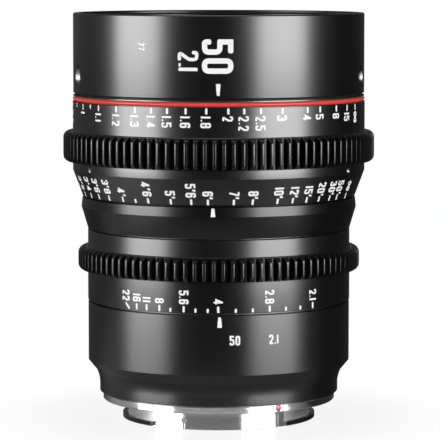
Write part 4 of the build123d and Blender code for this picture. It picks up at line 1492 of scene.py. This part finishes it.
@dataclass
class FrontBarrel:
    """Fixed front barrel with its filter thread, set screws, trim ring and marks.

    Attributes:
        bore: Radius behind the thread.
        thread_minor: Radius of the thread's crests.
        thread_depth: Depth of the thread.
        thread_pitch: Rise of one turn.
        thread_length: Length of the threaded bore.
        thread_middle: Share of the depth at which the ridge has its middle.
        ridge_share: Radius of the ridge in shares of the depth.
        screw_azimuths: Where the set screws stand.
        screw_rise: Height of their axis above the barrel's foot.
        skirt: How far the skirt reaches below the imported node.
        skirt_in: How far inside the barrel's outside the skirt begins at its top and foot.
        skirt_edge: Broken edge at its foot.
        edge: Bevel of the front rim.
        lead_in: Depth of the bevel before the thread.
        lead_out: Width of that bevel.
        corner: Rounding of the barrel's corners.
        trim_corner: Rounding of the trim ring's corners.
        trim_steps: Steps of the light trap.
        trim_width: Its width.
        trim_lip: Its first step's width and the height left at its foot.
        index: Azimuth, foot, top and widths of the index mark.
        numbers: Azimuth, text, size and top of each number.
    """

    bore: float = 36.6
    thread_minor: float = 38.1
    thread_depth: float = 0.42
    thread_pitch: float = 0.75
    thread_length: float = 5.0
    thread_middle: float = 0.55
    ridge_share: float = 0.85
    screw_azimuths: tuple[float, ...] = (-73.0, 75.0, 180.0)
    screw_rise: float = 4.4
    skirt: float = 0.22
    skirt_in: Pair = (1.2, 1.1)
    skirt_edge: float = 0.15
    edge: float = 0.3
    lead_in: float = 0.5
    lead_out: float = 0.12
    corner: float = 0.1
    trim_corner: float = 0.03
    trim_steps: int = 7
    trim_width: float = 3.4
    trim_lip: float = 0.6
    index: tuple[float, ...] = (-0.2, 85.5, 88.6, 0.75, 1.25)
    numbers: tuple[tuple[float, str, Digits, float], ...] = (
        (-0.4, "50", Digits(8.4, 0.9), 100.35), (-11.6, "2", Digits(5.7, 0.85), 97.3),
        (-11.6, ".", Digits(5.7, 0.85), 94.1), (-11.6, "1", Digits(5.7, 0.85), 93.1),
        (-30.6, "77", Digits(2.0, 0.75), 99.3))

    def build(self) -> None:
        """Builds the barrel, its thread, screws, trim ring and marks."""
        low, high, outer = turned("front_barrel")
        screws = SetScrews("front_barrel_screws", "housing", self.screw_azimuths,
                           low + self.screw_rise, radius=1.5, dish=2.8, wall=outer, sink=0.14,
                           length=3.2, hole_depth=5.0)
        tube_r, tube_top = outer_radius("main_tube"), span("main_tube")[1]
        major = self.thread_minor + self.thread_depth
        floor = high - self.thread_length
        foot = low - self.skirt
        dress_ring("front_barrel", "housing", Finishes.BARREL, self.corner, [
            (tube_r, low), (outer - self.skirt_in[0], low), (outer - self.skirt_in[1], foot),
            (outer - self.skirt_edge, foot), (outer, foot + self.skirt_edge),
            (outer, high - self.edge), (outer - self.edge, high), (major + self.lead_out, high),
            (major, high - self.lead_in), (major, floor), (self.bore, floor),
            (self.bore, tube_top), (tube_r, tube_top)], screws)
        self._thread(floor)
        screws.build()
        self._trim()
        engraver = Engraver((outer, low), (outer, high))
        engraver.wedge(*self.index)
        for number in self.numbers:
            engraver.number_down(*number)
        engraver.piece("front_barrel_marks", "housing")

    def _thread(self, floor: float) -> None:
        """Builds the filter thread: a spiral with a three-sided ridge.

        Args:
            floor: Height of the thread's floor.
        """
        graph = Graph("filter_thread", Finishes.INNER)
        turns, radius, rise, ridge = (
            graph.size(name) for name in ("Turns", "Radius", "Rise", "Ridge"))
        spiral = graph.make("GeometryNodeCurveSpiral", None, {
            "Resolution": 180, "Rotations": turns, "Start Radius": radius, "End Radius": radius,
            "Height": rise})
        profile = graph.make("GeometryNodeCurvePrimitiveCircle", {"mode": "RADIUS"}, {
            "Resolution": 3, "Radius": ridge})
        swept = graph.make("GeometryNodeCurveToMesh", None, {
            "Curve": spiral.outputs["Curve"], "Profile Curve": profile.outputs["Curve"],
            "Fill Caps": True})
        graph.close(swept.outputs["Mesh"])
        room = self.thread_length - self.lead_in - self.thread_pitch
        count = int(room / self.thread_pitch)
        thread = graph.run(Form().object("filter_thread", Finishes.INNER), {
            "Turns": float(count), "Rise": count * self.thread_pitch * MM,
            "Radius": (self.thread_minor + self.thread_depth * self.thread_middle) * MM,
            "Ridge": self.thread_depth * self.ridge_share * MM})
        thread.data.transform(Matrix.Translation((0, 0, (floor + self.lead_in) * MM)))
        place_piece(thread, "housing", "inner_black")

    def _trim(self) -> None:
        """Stepped light trap inside the front opening."""
        low, high = span("front_trim_ring")
        inner = outer_radius("front_trim_ring") - self.trim_width
        rim = self.bore - self.trim_lip
        depth = high - low - self.trim_lip
        outline: Outline = [(self.bore, low), (self.bore, high)]
        for step in range(self.trim_steps):
            share = step / self.trim_steps
            radius = rim - (rim - inner) * share
            height = high - depth * share
            outline += [(radius, height), (radius, height - depth / self.trim_steps)]
        outline.append((inner, low))
        dress_ring("front_trim_ring", "housing", Finishes.INNER, self.trim_corner, outline,
                   slot="inner_black")


class FocusScale:
    """Angle of a distance mark on the focus ring, from the law of the focus thread."""

    INFINITY_AZIMUTH = 66.3
    RISE_PER_DEGREE = 0.0210
    FOCAL_LENGTH = 50.0
    INCH = 304.8 / 12

    @classmethod
    def azimuth(cls, distance: float) -> float:
        """Finds the place of a mark.

        Args:
            distance: From the object to the image, in millimetres.

        Returns:
            The mark's azimuth at rest.
        """
        spread = distance * distance - 4 * cls.FOCAL_LENGTH * distance
        extension = (distance - math.sqrt(spread)) / 2 - cls.FOCAL_LENGTH
        return cls.INFINITY_AZIMUTH - extension / cls.RISE_PER_DEGREE


@dataclass
class FocusRing:
    """Turning focus ring: cone, gear, metre ring, red ring, end ring, screws and scales.

    Attributes:
        cone_height: Height of the cone at the ring's foot.
        foot_step: How much smaller the foot's radius is than the band's.
        seat_step: How far the gear's seat lies inside the metre ring.
        gear_phase: Azimuth of one tooth.
        screw_azimuths: Where the set screws stand.
        screw_rise: Height of their axis above the foot.
        red_rise: How far the red ring and the end ring are raised.
        red_crown: How far the red ring bulges.
        crown_steps: Straight pieces in its bulge.
        lip_height: Height of the end ring's bright lip.
        lip_groove: Depth and rise of the groove below it.
        lip_edge: Width and height of its lower edge.
        lip_bevel: Width and height of its upper edge.
        lip_land: How far inside the lip its flat ends, at the lip and at the ring's top.
        lip_corner: Rounding of the end ring's corners.
        corner: Rounding of the focus ring's corners.
        tick_width: Width of the ticks.
        metre_ticks: Lower end of the long and the short ticks, and their upper end.
        metre_digits: Size of the metre scale's numbers.
        metre_top: Height where they begin.
        metre_digit_shift: How far they stand beside their ticks.
        metre_infinity: Length, height, top and stroke of the mark of infinity.
        metres: Text and distance in metres of each mark.
        metre_shifts: Small corrections of its azimuth.
        feet_ticks: Lower end of the ticks, and upper end of the short and the long ones.
        feet_digits: Size of the feet scale's numbers.
        feet_foot: Height where the numbers with inches end.
        feet_infinity: Length, height, top and stroke of the mark of infinity.
        feet: Text and distance in inches of each mark.
        feet_shift: How far this scale is turned against the metre scale.
        feet_shifts: Small corrections of a mark's azimuth.
    """

    cone_height: float = 7.1
    foot_step: float = 2.58
    seat_step: float = 0.97
    gear_phase: float = -1.47
    screw_azimuths: tuple[float, ...] = (-60.0, 60.0, 180.0)
    screw_rise: float = 7.9
    red_rise: float = 0.17
    red_crown: float = 0.55
    crown_steps: int = 12
    lip_height: float = 0.42
    lip_groove: Pair = (0.1, 0.01)
    lip_edge: Pair = (0.02, 0.04)
    lip_bevel: Pair = (0.25, 0.1)
    lip_land: Pair = (1.5, 1.6)
    lip_corner: float = 0.03
    corner: float = 0.09
    tick_width: float = 0.62
    metre_ticks: tuple[float, float, float] = (80.6, 81.1, 82.25)
    metre_digits: Digits = Digits(2.88, 0.92)
    metre_top: float = 80.2
    metre_digit_shift: float = -0.25
    metre_infinity: tuple[float, ...] = (3.1, 2.1, 80.25, 0.62)
    metres: tuple[tuple[str, float], ...] = (
        ("0.5", 0.508), ("", 0.52), ("", 0.54), ("0.6", 0.6), ("", 0.65), ("0.7", 0.7), ("", 0.75),
        ("0.8", 0.8), ("", 0.85), ("0.9", 0.9), ("", 0.95), ("1", 1.0), ("", 1.05), ("1.1", 1.1),
        ("1.2", 1.2), ("1.3", 1.3), ("1.4", 1.4), ("1.5", 1.5), ("1.6", 1.6), ("1.8", 1.8),
        ("2", 2.0), ("2.2", 2.2), ("2.5", 2.5), ("3", 3.0), ("4", 4.0), ("5", 5.0), ("8", 8.0),
        ("15", 15.0))
    metre_shifts: dict[float, float] = field(default_factory=lambda: {
        0.95: 1.2, 1.0: 0.8, 1.05: 0.4, 1.2: -0.5, 1.3: -0.3, 1.4: -0.85, 1.5: -0.9, 1.6: 0.7,
        1.8: -0.85, 2.5: -0.6, 3.0: -0.5, 8.0: 0.1, 15.0: 0.65})
    feet_ticks: tuple[float, float, float] = (56.6, 57.75, 58.15)
    feet_digits: Digits = Digits(2.85, 0.98)
    feet_foot: float = 58.6
    feet_infinity: tuple[float, ...] = (3.0, 2.0, 61.5, 0.6)
    feet: tuple[tuple[str, float], ...] = (
        ("1'8", 20), ("1'9", 21), ("1'10", 22), ("2'", 24), ("2'2", 26), ("2'4", 28), ("2'6", 30),
        ("2'8", 32), ("2'10", 34), ("3'", 36), ("3'2", 38), ("3'4", 40), ("3'6", 42), ("3'8", 44),
        ("4'", 48), ("", 51), ("4'6", 54), ("5'", 60), ("5'6", 66), ("6'", 72), ("7'", 84),
        ("8'", 96), ("10'", 120), ("12'", 144), ("15'", 180), ("20'", 240), ("30'", 360),
        ("50'", 600))
    feet_shift: float = -1.7
    feet_shifts: dict[int, float] = field(default_factory=lambda: {
        40: 0.5, 42: 0.85, 44: 2.1, 48: -0.3, 51: -0.5, 54: -0.35, 60: -0.35})

    def build(self) -> None:
        """Builds every piece of the ring."""
        self.low, self.top, self.band_r = turned("focus_ring")
        self.metre_r = outer_radius("metre_ring")
        self.seat = self.metre_r - self.seat_step
        self.bore = outer_radius("cam_sleeve")
        screws = SetScrews("focus_ring_screws", "focus_ring", self.screw_azimuths,
                           self.low + self.screw_rise, radius=0.7, dish=1.0, wall=self.band_r,
                           sink=0.06, length=2.6, hole_depth=2.8)
        gear_low = span("focus_gear")[0]
        foot_r = self.band_r - self.foot_step
        band_low = self.low + self.cone_height
        dress_ring("focus_ring", "focus_ring", Finishes.RING, self.corner, [
            (self.bore, self.low), (foot_r - CHAMFER, self.low), (foot_r, self.low + CHAMFER),
            (self.band_r, band_low), (self.band_r, gear_low), (self.seat, gear_low),
            (self.seat, self.top), (self.bore, self.top)], screws)
        Gear("focus_gear", "focus_ring", self.seat, self.gear_phase).build()
        self._upper_rings()
        screws.build()
        self._metre_marks()
        self._feet_marks(Engraver((foot_r, self.low), (self.band_r, band_low)))

    def _upper_rings(self) -> None:
        """Metre ring, red ring and end ring."""
        dress_footed_ring("metre_ring", "focus_ring", self.seat)
        low, high = (edge + self.red_rise for edge in span("accent_ring"))
        side = outer_radius("accent_ring") - self.red_crown
        shares = [step / self.crown_steps for step in range(self.crown_steps + 1)]
        crown = [(side + self.red_crown * math.sin(math.pi * share), low + (high - low) * share)
                 for share in shares]
        dress_ring("accent_ring", "focus_ring", Finishes.RED, 0.0,
                   [(self.seat, low), *crown, (self.seat, high)], slot="red_ring")
        low, high, outer = turned("focus_end_ring")
        groove = low + self.red_rise + self.lip_groove[1]
        step_r = self.seat - self.lip_groove[0]
        lip = low + self.red_rise + self.lip_height
        dress_ring("focus_end_ring", "focus_ring", Finishes.LIP, self.lip_corner, [
            (self.bore, low), (step_r, low), (step_r, groove), (outer - self.lip_edge[0], groove),
            (outer, groove + self.lip_edge[1]), (outer, lip - self.lip_bevel[1]),
            (outer - self.lip_bevel[0], lip), (outer - self.lip_land[0], lip),
            (outer - self.lip_land[1], high), (self.bore, high)])

    def _metre_marks(self) -> None:
        """Ticks under the red ring with plain numbers below them."""
        low, high = span("metre_ring")
        long_low, short_low, top = self.metre_ticks
        engraver = Engraver((self.metre_r, low), (self.metre_r, high))
        for text, metres in self.metres:
            azimuth = FocusScale.azimuth(metres * 1000) + self.metre_shifts.get(metres, 0.0)
            engraver.tick(azimuth, long_low if text else short_low, top, self.tick_width)
            if text:
                engraver.number_down(azimuth + self.metre_digit_shift, text, self.metre_digits,
                                     self.metre_top)
        engraver.tick(FocusScale.INFINITY_AZIMUTH, long_low, top, self.tick_width)
        engraver.lying_eight(FocusScale.INFINITY_AZIMUTH, *self.metre_infinity)
        engraver.piece("metre_scale_marks", "focus_ring")

    def _feet_marks(self, engraver: Engraver) -> None:
        """Ticks at the foot of the cone with plain numbers above them.

        Args:
            engraver: Cuts into the cone.
        """
        low, short_top, long_top = self.feet_ticks
        for text, inches in self.feet:
            azimuth = FocusScale.azimuth(inches * FocusScale.INCH) + self.feet_shift
            azimuth += self.feet_shifts.get(inches, 0.0)
            engraver.tick(azimuth, low, long_top if text else short_top, self.tick_width)
            if text:
                bottom = long_top if text.endswith("'") else self.feet_foot
                engraver.number_up_to(azimuth, text, self.feet_digits, bottom)
        infinity = FocusScale.INFINITY_AZIMUTH + self.feet_shift
        engraver.tick(infinity, low, long_top, self.tick_width)
        engraver.lying_eight(infinity, *self.feet_infinity)
        engraver.piece("feet_scale_marks", "focus_ring")


@dataclass
class IndexRing:
    """Fixed ring between the focus ring and the iris ring, with its index mark.

    Attributes:
        cone_height: Height of the cone at its foot.
        cone_out: How much the cone widens.
        band_in: How much the band narrows again to its top.
        corner: Rounding of its corners.
        index: Azimuth, foot, top and widths of the index mark.
    """

    cone_height: float = 5.9
    cone_out: float = 1.75
    band_in: float = 0.25
    corner: float = 0.08
    index: tuple[float, ...] = (-2.3, 53.5, 55.75, 1.25, 0.75)

    def build(self) -> None:
        """Builds the ring and its index mark."""
        low, high, outer = turned("index_ring")
        bore = outer_radius("main_tube")
        middle, top_r = low + self.cone_height, outer - self.band_in
        dress_ring("index_ring", "housing", Finishes.FIXED_BAND, self.corner, [
            (bore, low), (outer - self.cone_out, low), (outer, middle), (top_r, high - CHAMFER),
            (top_r - CHAMFER, high), (bore, high)])
        engraver = Engraver((outer, middle), (top_r, high))
        engraver.wedge(*self.index)
        engraver.piece("index_ring_mark", "housing")


@dataclass
class IrisRing:
    """Turning iris ring: band with the aperture scale, gear and clamp ring.

    Attributes:
        gear_phase: Azimuth of one tooth.
        seat_step: How far the gear's seat lies inside the band.
        play: Gap between the ring and the main tube.
        foot_in: How far inside the band the recess at its foot begins, below and above.
        foot_rise: Depth of that recess.
        foot_edge: Broken edge at the foot.
        corner: Rounding of the ring's corners.
        crowded: How far the smallest stop's number and tick lean away from the next.
        digits: Size of the numbers.
        digit_foot: Height where they end.
        ticks: Lower end of the ticks, and upper end of the short and the long ones.
        tick_width: Width of the ticks.
        stops: Text and azimuth of each mark.
    """

    gear_phase: float = 1.82
    seat_step: float = 0.83
    play: float = 0.06
    foot_in: Pair = (0.9, 0.8)
    foot_rise: float = 0.22
    foot_edge: float = 0.08
    corner: float = 0.03
    crowded: float = -1.9
    digits: Digits = Digits(2.7, 0.95)
    digit_foot: float = 30.05
    ticks: tuple[float, float, float] = (27.86, 29.0, 29.6)
    tick_width: float = 0.6
    stops: tuple[tuple[str, float], ...] = (
        ("22", -41.5), ("16", -37.3), ("11", -32.1), ("8", -25.9), ("", -20.8), ("5.6", -14.9),
        ("", -9.8), ("", -4.6), ("4", -0.2), ("", 7.2), ("", 14.5), ("2.8", 22.0), ("", 29.7),
        ("", 37.1), ("2.1", 44.2))

    def build(self) -> None:
        """Builds the ring's pieces and its scale."""
        low, top, outer = turned("iris_ring")
        seat = outer - self.seat_step
        bore = outer_radius("main_tube") + self.play
        foot = low + self.foot_rise
        gear_low = span("iris_gear")[0]
        dress_ring("iris_ring", "iris_ring", Finishes.STOP_BAND, self.corner, [
            (bore, low), (outer - self.foot_in[0], low), (outer - self.foot_in[1], foot),
            (outer - self.foot_edge, foot), (outer, foot + self.foot_edge), (outer, gear_low),
            (seat, gear_low), (seat, top), (bore, top)])
        Gear("iris_gear", "iris_ring", seat, self.gear_phase).build()
        dress_footed_ring("iris_clamp_ring", "iris_ring", seat, CHAMFER)
        engraver = Engraver((outer, low), (outer, gear_low))
        tick_low, short_top, long_top = self.ticks
        for text, azimuth in self.stops:
            lean = self.crowded if text == "22" else 0.0
            engraver.tick(azimuth, tick_low, long_top if text else short_top, self.tick_width, lean)
            if text:
                engraver.number_up_to(azimuth + lean, text, self.digits, self.digit_foot)
        engraver.piece("stop_scale_marks", "iris_ring")


@dataclass
class RearBarrel:
    """Fixed rear barrel with its neck, flare and bevel, and the index of the aperture scale.

    Attributes:
        neck_out: How far the neck stands outside the mount's flange.
        neck_height: Height of its straight part.
        neck_chamfer: Its lower edge.
        flare_rise: Height of the flare above it.
        flare_out: How much the flare widens.
        flare_power: How late it widens.
        flare_steps: Straight pieces in it.
        bevel_rise: Height of the bevel above the flare.
        corner: Rounding of the barrel's corners.
        index: Azimuth, foot, top and widths of the index mark.
        digits: Size of the numbers.
        numbers: Azimuth of the left end and text of each number.
        number_foot: Height of their foot.
    """

    neck_out: float = 0.92
    neck_height: float = 2.35
    neck_chamfer: float = 0.25
    flare_rise: float = 3.9
    flare_out: float = 0.98
    flare_power: float = 1.9
    flare_steps: int = 8
    bevel_rise: float = 2.6
    corner: float = 0.09
    index: tuple[float, ...] = (0.4, 23.9, 26.7, 1.25, 0.75)
    digits: Digits = Digits(2.6, 0.98)
    numbers: tuple[tuple[float, str], ...] = ((4.6, "50"), (21.7, "2.1"))
    number_foot: float = 19.15

    def build(self) -> None:
        """Builds the barrel, its index mark and its numbers."""
        low, high, outer = turned("rear_barrel")
        tube_r, tube_low = outer_radius("main_tube"), span("main_tube")[0]
        neck = outer_radius("bayonet_mount") + self.neck_out
        bore = outer_radius("rear_baffle")
        flare_low = low + self.neck_height
        shares = [step / self.flare_steps for step in range(self.flare_steps + 1)]
        flare = [(neck + self.flare_out * share ** self.flare_power,
                  flare_low + self.flare_rise * share) for share in shares]
        dress_ring("rear_barrel", "housing", Finishes.REAR, self.corner, [
            (bore, low), (neck - self.neck_chamfer, low), (neck, low + self.neck_chamfer), *flare,
            (outer, flare_low + self.flare_rise + self.bevel_rise), (outer, high - CHAMFER),
            (outer - CHAMFER, high), (tube_r, high), (tube_r, tube_low), (bore, tube_low)])
        engraver = Engraver((outer, low), (outer, high))
        engraver.wedge(*self.index)
        for azimuth, text in self.numbers:
            engraver.number_across(azimuth, text, self.digits, self.number_foot)
        engraver.piece("rear_barrel_mark", "housing")


@dataclass
class Mount:
    """Chrome bayonet with its screws, stop pin, baffle, shim and alignment dot.

    Attributes:
        dot_azimuth: Azimuth of the alignment dot.
        dot_height: Its height on the lens.
        dot_radius: Its radius.
        dot_peg: Radius and depth of its peg's steps.
        dot_dome: Share of the radius and rise of each row of its dome.
        dot_top: Rise of its middle.
        dot_sharp: Angle above which an edge of it stays sharp.
        pin_azimuth: Azimuth of the stop pin.
        pin_height: Height of its axis.
        pin_shade_ring: Radius and rise of each row of the black ring of painted shade around it.
    """

    dot_azimuth: float = 30.1
    dot_height: float = 1.12
    dot_radius: float = 0.87
    dot_peg: tuple[Point, ...] = ((0.72, -0.75), (0.72, -0.03))
    dot_dome: tuple[Point, ...] = (
        (1.0, 0.0), (1.0, 0.02), (0.92, 0.10), (0.7, 0.19), (0.4, 0.245))
    dot_top: float = 0.26
    dot_sharp: float = 60.0
    pin_azimuth: float = -21.6
    pin_height: float = -2.9
    pin_shade_ring: tuple[Point, ...] = (
        (1.02, -0.3), (1.02, 0.05), (0.94, 0.09), (0.67, 0.09), (0.62, 0.04), (0.62, -0.08),
        (POLE, -0.08))

    def build(self) -> None:
        """Dresses the mount's nodes."""
        wear(Finishes.CHROME, "bayonet_mount")
        wear(Finishes.DISH, "bayonet_stop_pin")
        wear(Finishes.STEEL, "mount_screws")
        wear(Finishes.SHIM, "mount_shim")
        wear(Finishes.INNER, "rear_baffle")
        form = Form()
        form.stud(self.dot_azimuth, self.dot_height, outer_radius("bayonet_mount"), [
            *self.dot_peg, *((self.dot_radius * share, rise) for share, rise in self.dot_dome),
            (POLE, self.dot_top)])
        place_piece(form.object("dressed_alignment_dot", Finishes.ENAMEL, self.dot_sharp),
                    "housing", "red_enamel", "alignment_dot")
        # A matt black ring around the stop pin: painted shade where the recess around the pin would
        # be dark.
        form = Form()
        form.stud(self.pin_azimuth, self.pin_height, outer_radius("bayonet_stop_pin"),
                  self.pin_shade_ring)
        place_piece(form.object("stop_pin_shade_ring", Finishes.INNER, STUD_SHARP),
                    "housing", "inner_black")


@dataclass
class OpticalUnit:
    """Glass, cells, rings and iris inside the barrels.

    Attributes:
        cells: Blackened nodes.
        films: Each glass node and the thickness of its coating in nanometres.
        blades: Number of iris blades.
    """

    cells: tuple[str, ...] = (
        "rear_cell", "front_cell", "iris_cover", "front_retaining_ring", "front_spacer",
        "inner_retaining_ring", "rear_spacer", "rear_inner_spacer", "rear_retaining_ring")
    films: tuple[tuple[str, float], ...] = (
        ("front_element", 330.0), ("second_element", 290.0), ("third_element", 250.0),
        ("fourth_element", 270.0), ("fifth_element", 310.0), ("rear_element", 350.0))
    blades: int = 8

    def build(self) -> None:
        """Dresses the unit's nodes."""
        wear(Finishes.INNER, *self.cells)
        for node, film in self.films:
            wear(GlassFinish("coated_glass_" + node, film), node)
        wear(Finishes.ALLOY, "main_tube", "cam_sleeve", "iris_cam_ring")
        wear(Finishes.ACETAL, "rear_glide_ring", "front_glide_ring")
        wear(Finishes.BRASS, "cam_followers", "iris_drive_pin")
        wear(Finishes.BLADE, *(f"iris_blade_{number + 1}" for number in range(self.blades)))


@dataclass
class Softbox:
    """A rectangular lamp that faces the middle of the lens.

    Attributes:
        name: Its name.
        azimuth: Where it stands.
        height: Height of its middle.
        width: Its width.
        tall: Its height from edge to edge.
        power: Its power in watts.
        distance: Its distance from the lens axis.
        aim: Height that it faces.
    """

    name: str
    azimuth: float
    height: float
    width: float
    tall: float
    power: float
    distance: float = 700.0
    aim: float = 50.0

    def build(self) -> None:
        """Sets the lamp up."""
        light = bpy.data.lights.new(self.name, "AREA")
        light.shape = "RECTANGLE"
        light.size = self.width * MM
        light.size_y = self.tall * MM
        light.energy = self.power
        lamp = new_object(self.name, light)
        turn = math.radians(self.azimuth - 90)
        spot = Vector((self.distance * math.cos(turn), self.distance * math.sin(turn),
                       self.height)) * MM
        lamp.location = spot
        way = Vector((0.0, 0.0, self.aim)) * MM - spot
        lamp.rotation_euler = way.to_track_quat("-Z", "Y").to_euler()


@dataclass
class Floor:
    """Pale floor keeping the object's shadow, with painted shade and a painted glow before the
    mount.

    Distances are from the lens axis. How far a place lies ahead is the cosine of its azimuth.

    Attributes:
        pale: Grey of the lit floor.
        shaded: Grey of the painted shade where flags would keep the light off.
        roughness: Its roughness.
        size: Half its width.
        drop: How far it lies below the lens.
        painted_shade_ahead: How far ahead the two front bands of painted shade begin and are full.
        painted_shade_rings: Distances between which each of them begins.
        wings: How far ahead the lit floor begins and is full; the painted shade of a wide flag lies
            behind.
        wing_lean: How far that painted shade leans to the left.
        close: Distances between which the painted shade near the lens fades out.
        close_share: How deep that painted shade is at the lens.
        far: Distances between which the floor turns to painted shade far from the lens.
        painted_glow_ahead: How far ahead the painted glow of a reflector begins and is full.
        painted_glow_rings: Distances between which it begins and between which it ends.
        painted_glow_strength: Its strength.
        white: Distances between which the floor turns fully white to the camera.
        white_share: How much it turns whiter there.
    """

    pale: Colour = (0.82, 0.82, 0.82)
    shaded: Colour = (0.05, 0.05, 0.05)
    roughness: float = 0.12
    size: float = 4000.0
    drop: float = 0.02
    painted_shade_ahead: Pair = (0.55, 0.95)
    painted_shade_rings: tuple[Pair, Pair] = ((80.0, 100.0), (110.0, 130.0))
    wings: Pair = (-0.25, 0.2)
    wing_lean: float = 0.35
    close: Pair = (45.0, 72.0)
    close_share: float = 0.35
    far: Pair = (160.0, 500.0)
    painted_glow_ahead: Pair = (0.6, 0.95)
    painted_glow_rings: tuple[Pair, Pair] = ((48.0, 58.0), (80.0, 88.0))
    painted_glow_strength: float = 0.22
    white: Pair = (34.0, 75.0)
    white_share: float = 0.12

    def build(self) -> None:
        """Builds the floor."""
        surface = Surface("floor")
        across, along, _, radius = surface.polar(surface.place())
        seen = surface.term(surface.make("ShaderNodeLightPath"), "Is Camera Ray")
        ahead = along * -1.0 / radius
        # Painted shade, which all rays but the camera's see. The floor turns dark in two bands
        # ahead as if under flags, behind and right of the lens, near its foot, and far off.
        first, second = (radius.ramp(*ring, MM) * 0.5 for ring in self.painted_shade_rings)
        painted_flag_shade = ahead.ramp(*self.painted_shade_ahead) * (first + second)
        close = radius.ramp(*self.close, MM) * self.close_share + (1 - self.close_share)
        wings = (ahead - across * self.wing_lean / radius).ramp(*self.wings)
        far = radius.ramp(*self.far, MM)
        shade = (1 - seen) * (1 - wings * close * (1 - painted_flag_shade) * (1 - far))
        surface.give({"Base Color": surface.mix(shade, self.pale, self.shaded),
                      "Roughness": self.roughness, "Specular IOR Level": 0.5})
        # Painted glow before the mount, where a lit reflector would be. The camera doesn't see it.
        start, end = (radius.ramp(*ring, MM) for ring in self.painted_glow_rings)
        painted_glow_mask = ahead.ramp(*self.painted_glow_ahead) * start * (1 - end)
        white = radius.ramp(*self.white, MM) * self.white_share + (1 - self.white_share)
        glow = surface.make("ShaderNodeEmission", None, {"Color": (1.0, 1.0, 1.0), "Strength": 1.0})
        surface.blend(white * seen + (1 - seen) * painted_glow_mask * self.painted_glow_strength,
                      surface.bsdf.outputs["BSDF"], glow.outputs["Emission"])
        mesh = bpy.data.meshes.new("floor")
        size, height = self.size * MM, CAD_BOX[0][2] - self.drop * MM
        corners = [(x * size, y * size, height) for x, y in ((-1, -1), (1, -1), (1, 1), (-1, 1))]
        mesh.from_pydata(corners, [], [(0, 1, 2, 3)])
        mesh.materials.append(surface.material)
        new_object("floor", mesh)


@dataclass
class Studio:
    """Lamps, backdrop and camera, on a floor.

    Attributes:
        distance: Distance of the camera from the lens axis.
        eye_height: Height of the camera.
        pitch: How far the camera looks down.
        focal_pixels: Focal length in the picture's pixels.
        frame_pixels: Width of the picture.
        centre_shift: How far the picture's middle lies beside the lens axis, in pixels.
        sensor: Width of the camera's sensor.
        lamps: The softboxes.
        fill: Strength of the backdrop where the camera doesn't see it.
        overhead: Strength of the bright ceiling in mirrored rays.
        ceiling: Where the ceiling begins, as the height of a ray's direction.
        lean: How much the backdrop's strength grows across and along the scene.
    """

    distance: float = 781.1
    eye_height: float = 121.3
    pitch: float = 5.27
    focal_pixels: float = 2837.1
    frame_pixels: float = 440.0
    centre_shift: float = 1.29
    sensor: float = 36.0
    lamps: tuple[Softbox, ...] = (
        Softbox("left_softbox", azimuth=-65.0, height=165.0, width=510.0, tall=320.0, power=4.75),
        Softbox("right_softbox", azimuth=49.5, height=165.0, width=530.0, tall=320.0, power=5.13),
        Softbox("top_softbox", azimuth=180.0, height=1000.0, width=500.0, tall=500.0,
                power=2.375))
    fill: float = 0.034
    overhead: float = 0.9
    ceiling: Pair = (0.84, 0.97)
    lean: Pair = (-0.9, 0.6)

    def build(self) -> None:
        """Builds the studio."""
        bpy.context.scene.view_settings.view_transform = "Standard"
        self._world()
        for piece in (Floor(), *self.lamps):
            piece.build()
        self._camera()

    def _world(self) -> None:
        """White to the camera, dim to matt surfaces and glass, bright overhead in mirrored rays."""
        world = bpy.data.worlds.new("studio")
        bpy.context.scene.world = world
        world.use_nodes = True
        bench = Bench(world.node_tree)
        path = bench.make("ShaderNodeLightPath")
        seen = bench.term(path, "Is Camera Ray")
        through = bench.term(path, "Is Transmission Ray")
        mirrored = bench.term(path, "Is Glossy Ray")
        across, along, up = bench.parts(bench.make("ShaderNodeTexCoord").outputs["Generated"])
        lean = (across * self.lean[0] + 1.0) * (along * self.lean[1] + 1.0)
        dim = ((mirrored + through) * self.fill + (1 - seen) * self.fill) * lean
        ceiling = mirrored * (1 - through) * up.ramp(*self.ceiling) * self.overhead
        background = world.node_tree.nodes["Background"]
        bench.feed(background.inputs["Color"], (1.0, 1.0, 1.0))
        bench.feed(background.inputs["Strength"], seen + dim + ceiling)

    def _camera(self) -> None:
        """The photograph's viewing angle and framing."""
        data = bpy.data.cameras.new("camera")
        data.sensor_width = self.sensor
        data.lens = self.focal_pixels * self.sensor / self.frame_pixels
        data.shift_x = self.centre_shift / self.frame_pixels
        camera = new_object("camera", data)
        camera.location = (0.0, -self.distance * MM, self.eye_height * MM)
        camera.rotation_euler = (math.radians(90 - self.pitch), 0.0, 0.0)
        bpy.context.scene.camera = camera


def main() -> None:
    """Builds the lens from the rear to the front, then the studio."""
    logging.basicConfig(level=logging.INFO, format="%(message)s")
    for part in (Mount(), RearBarrel(), IrisRing(), IndexRing(), FocusRing(), FrontBarrel(),
                 OpticalUnit()):
        part.build()
        LOG.info("%s built", type(part).__name__)
    Studio().build()


if __name__ == "__main__":
    main()
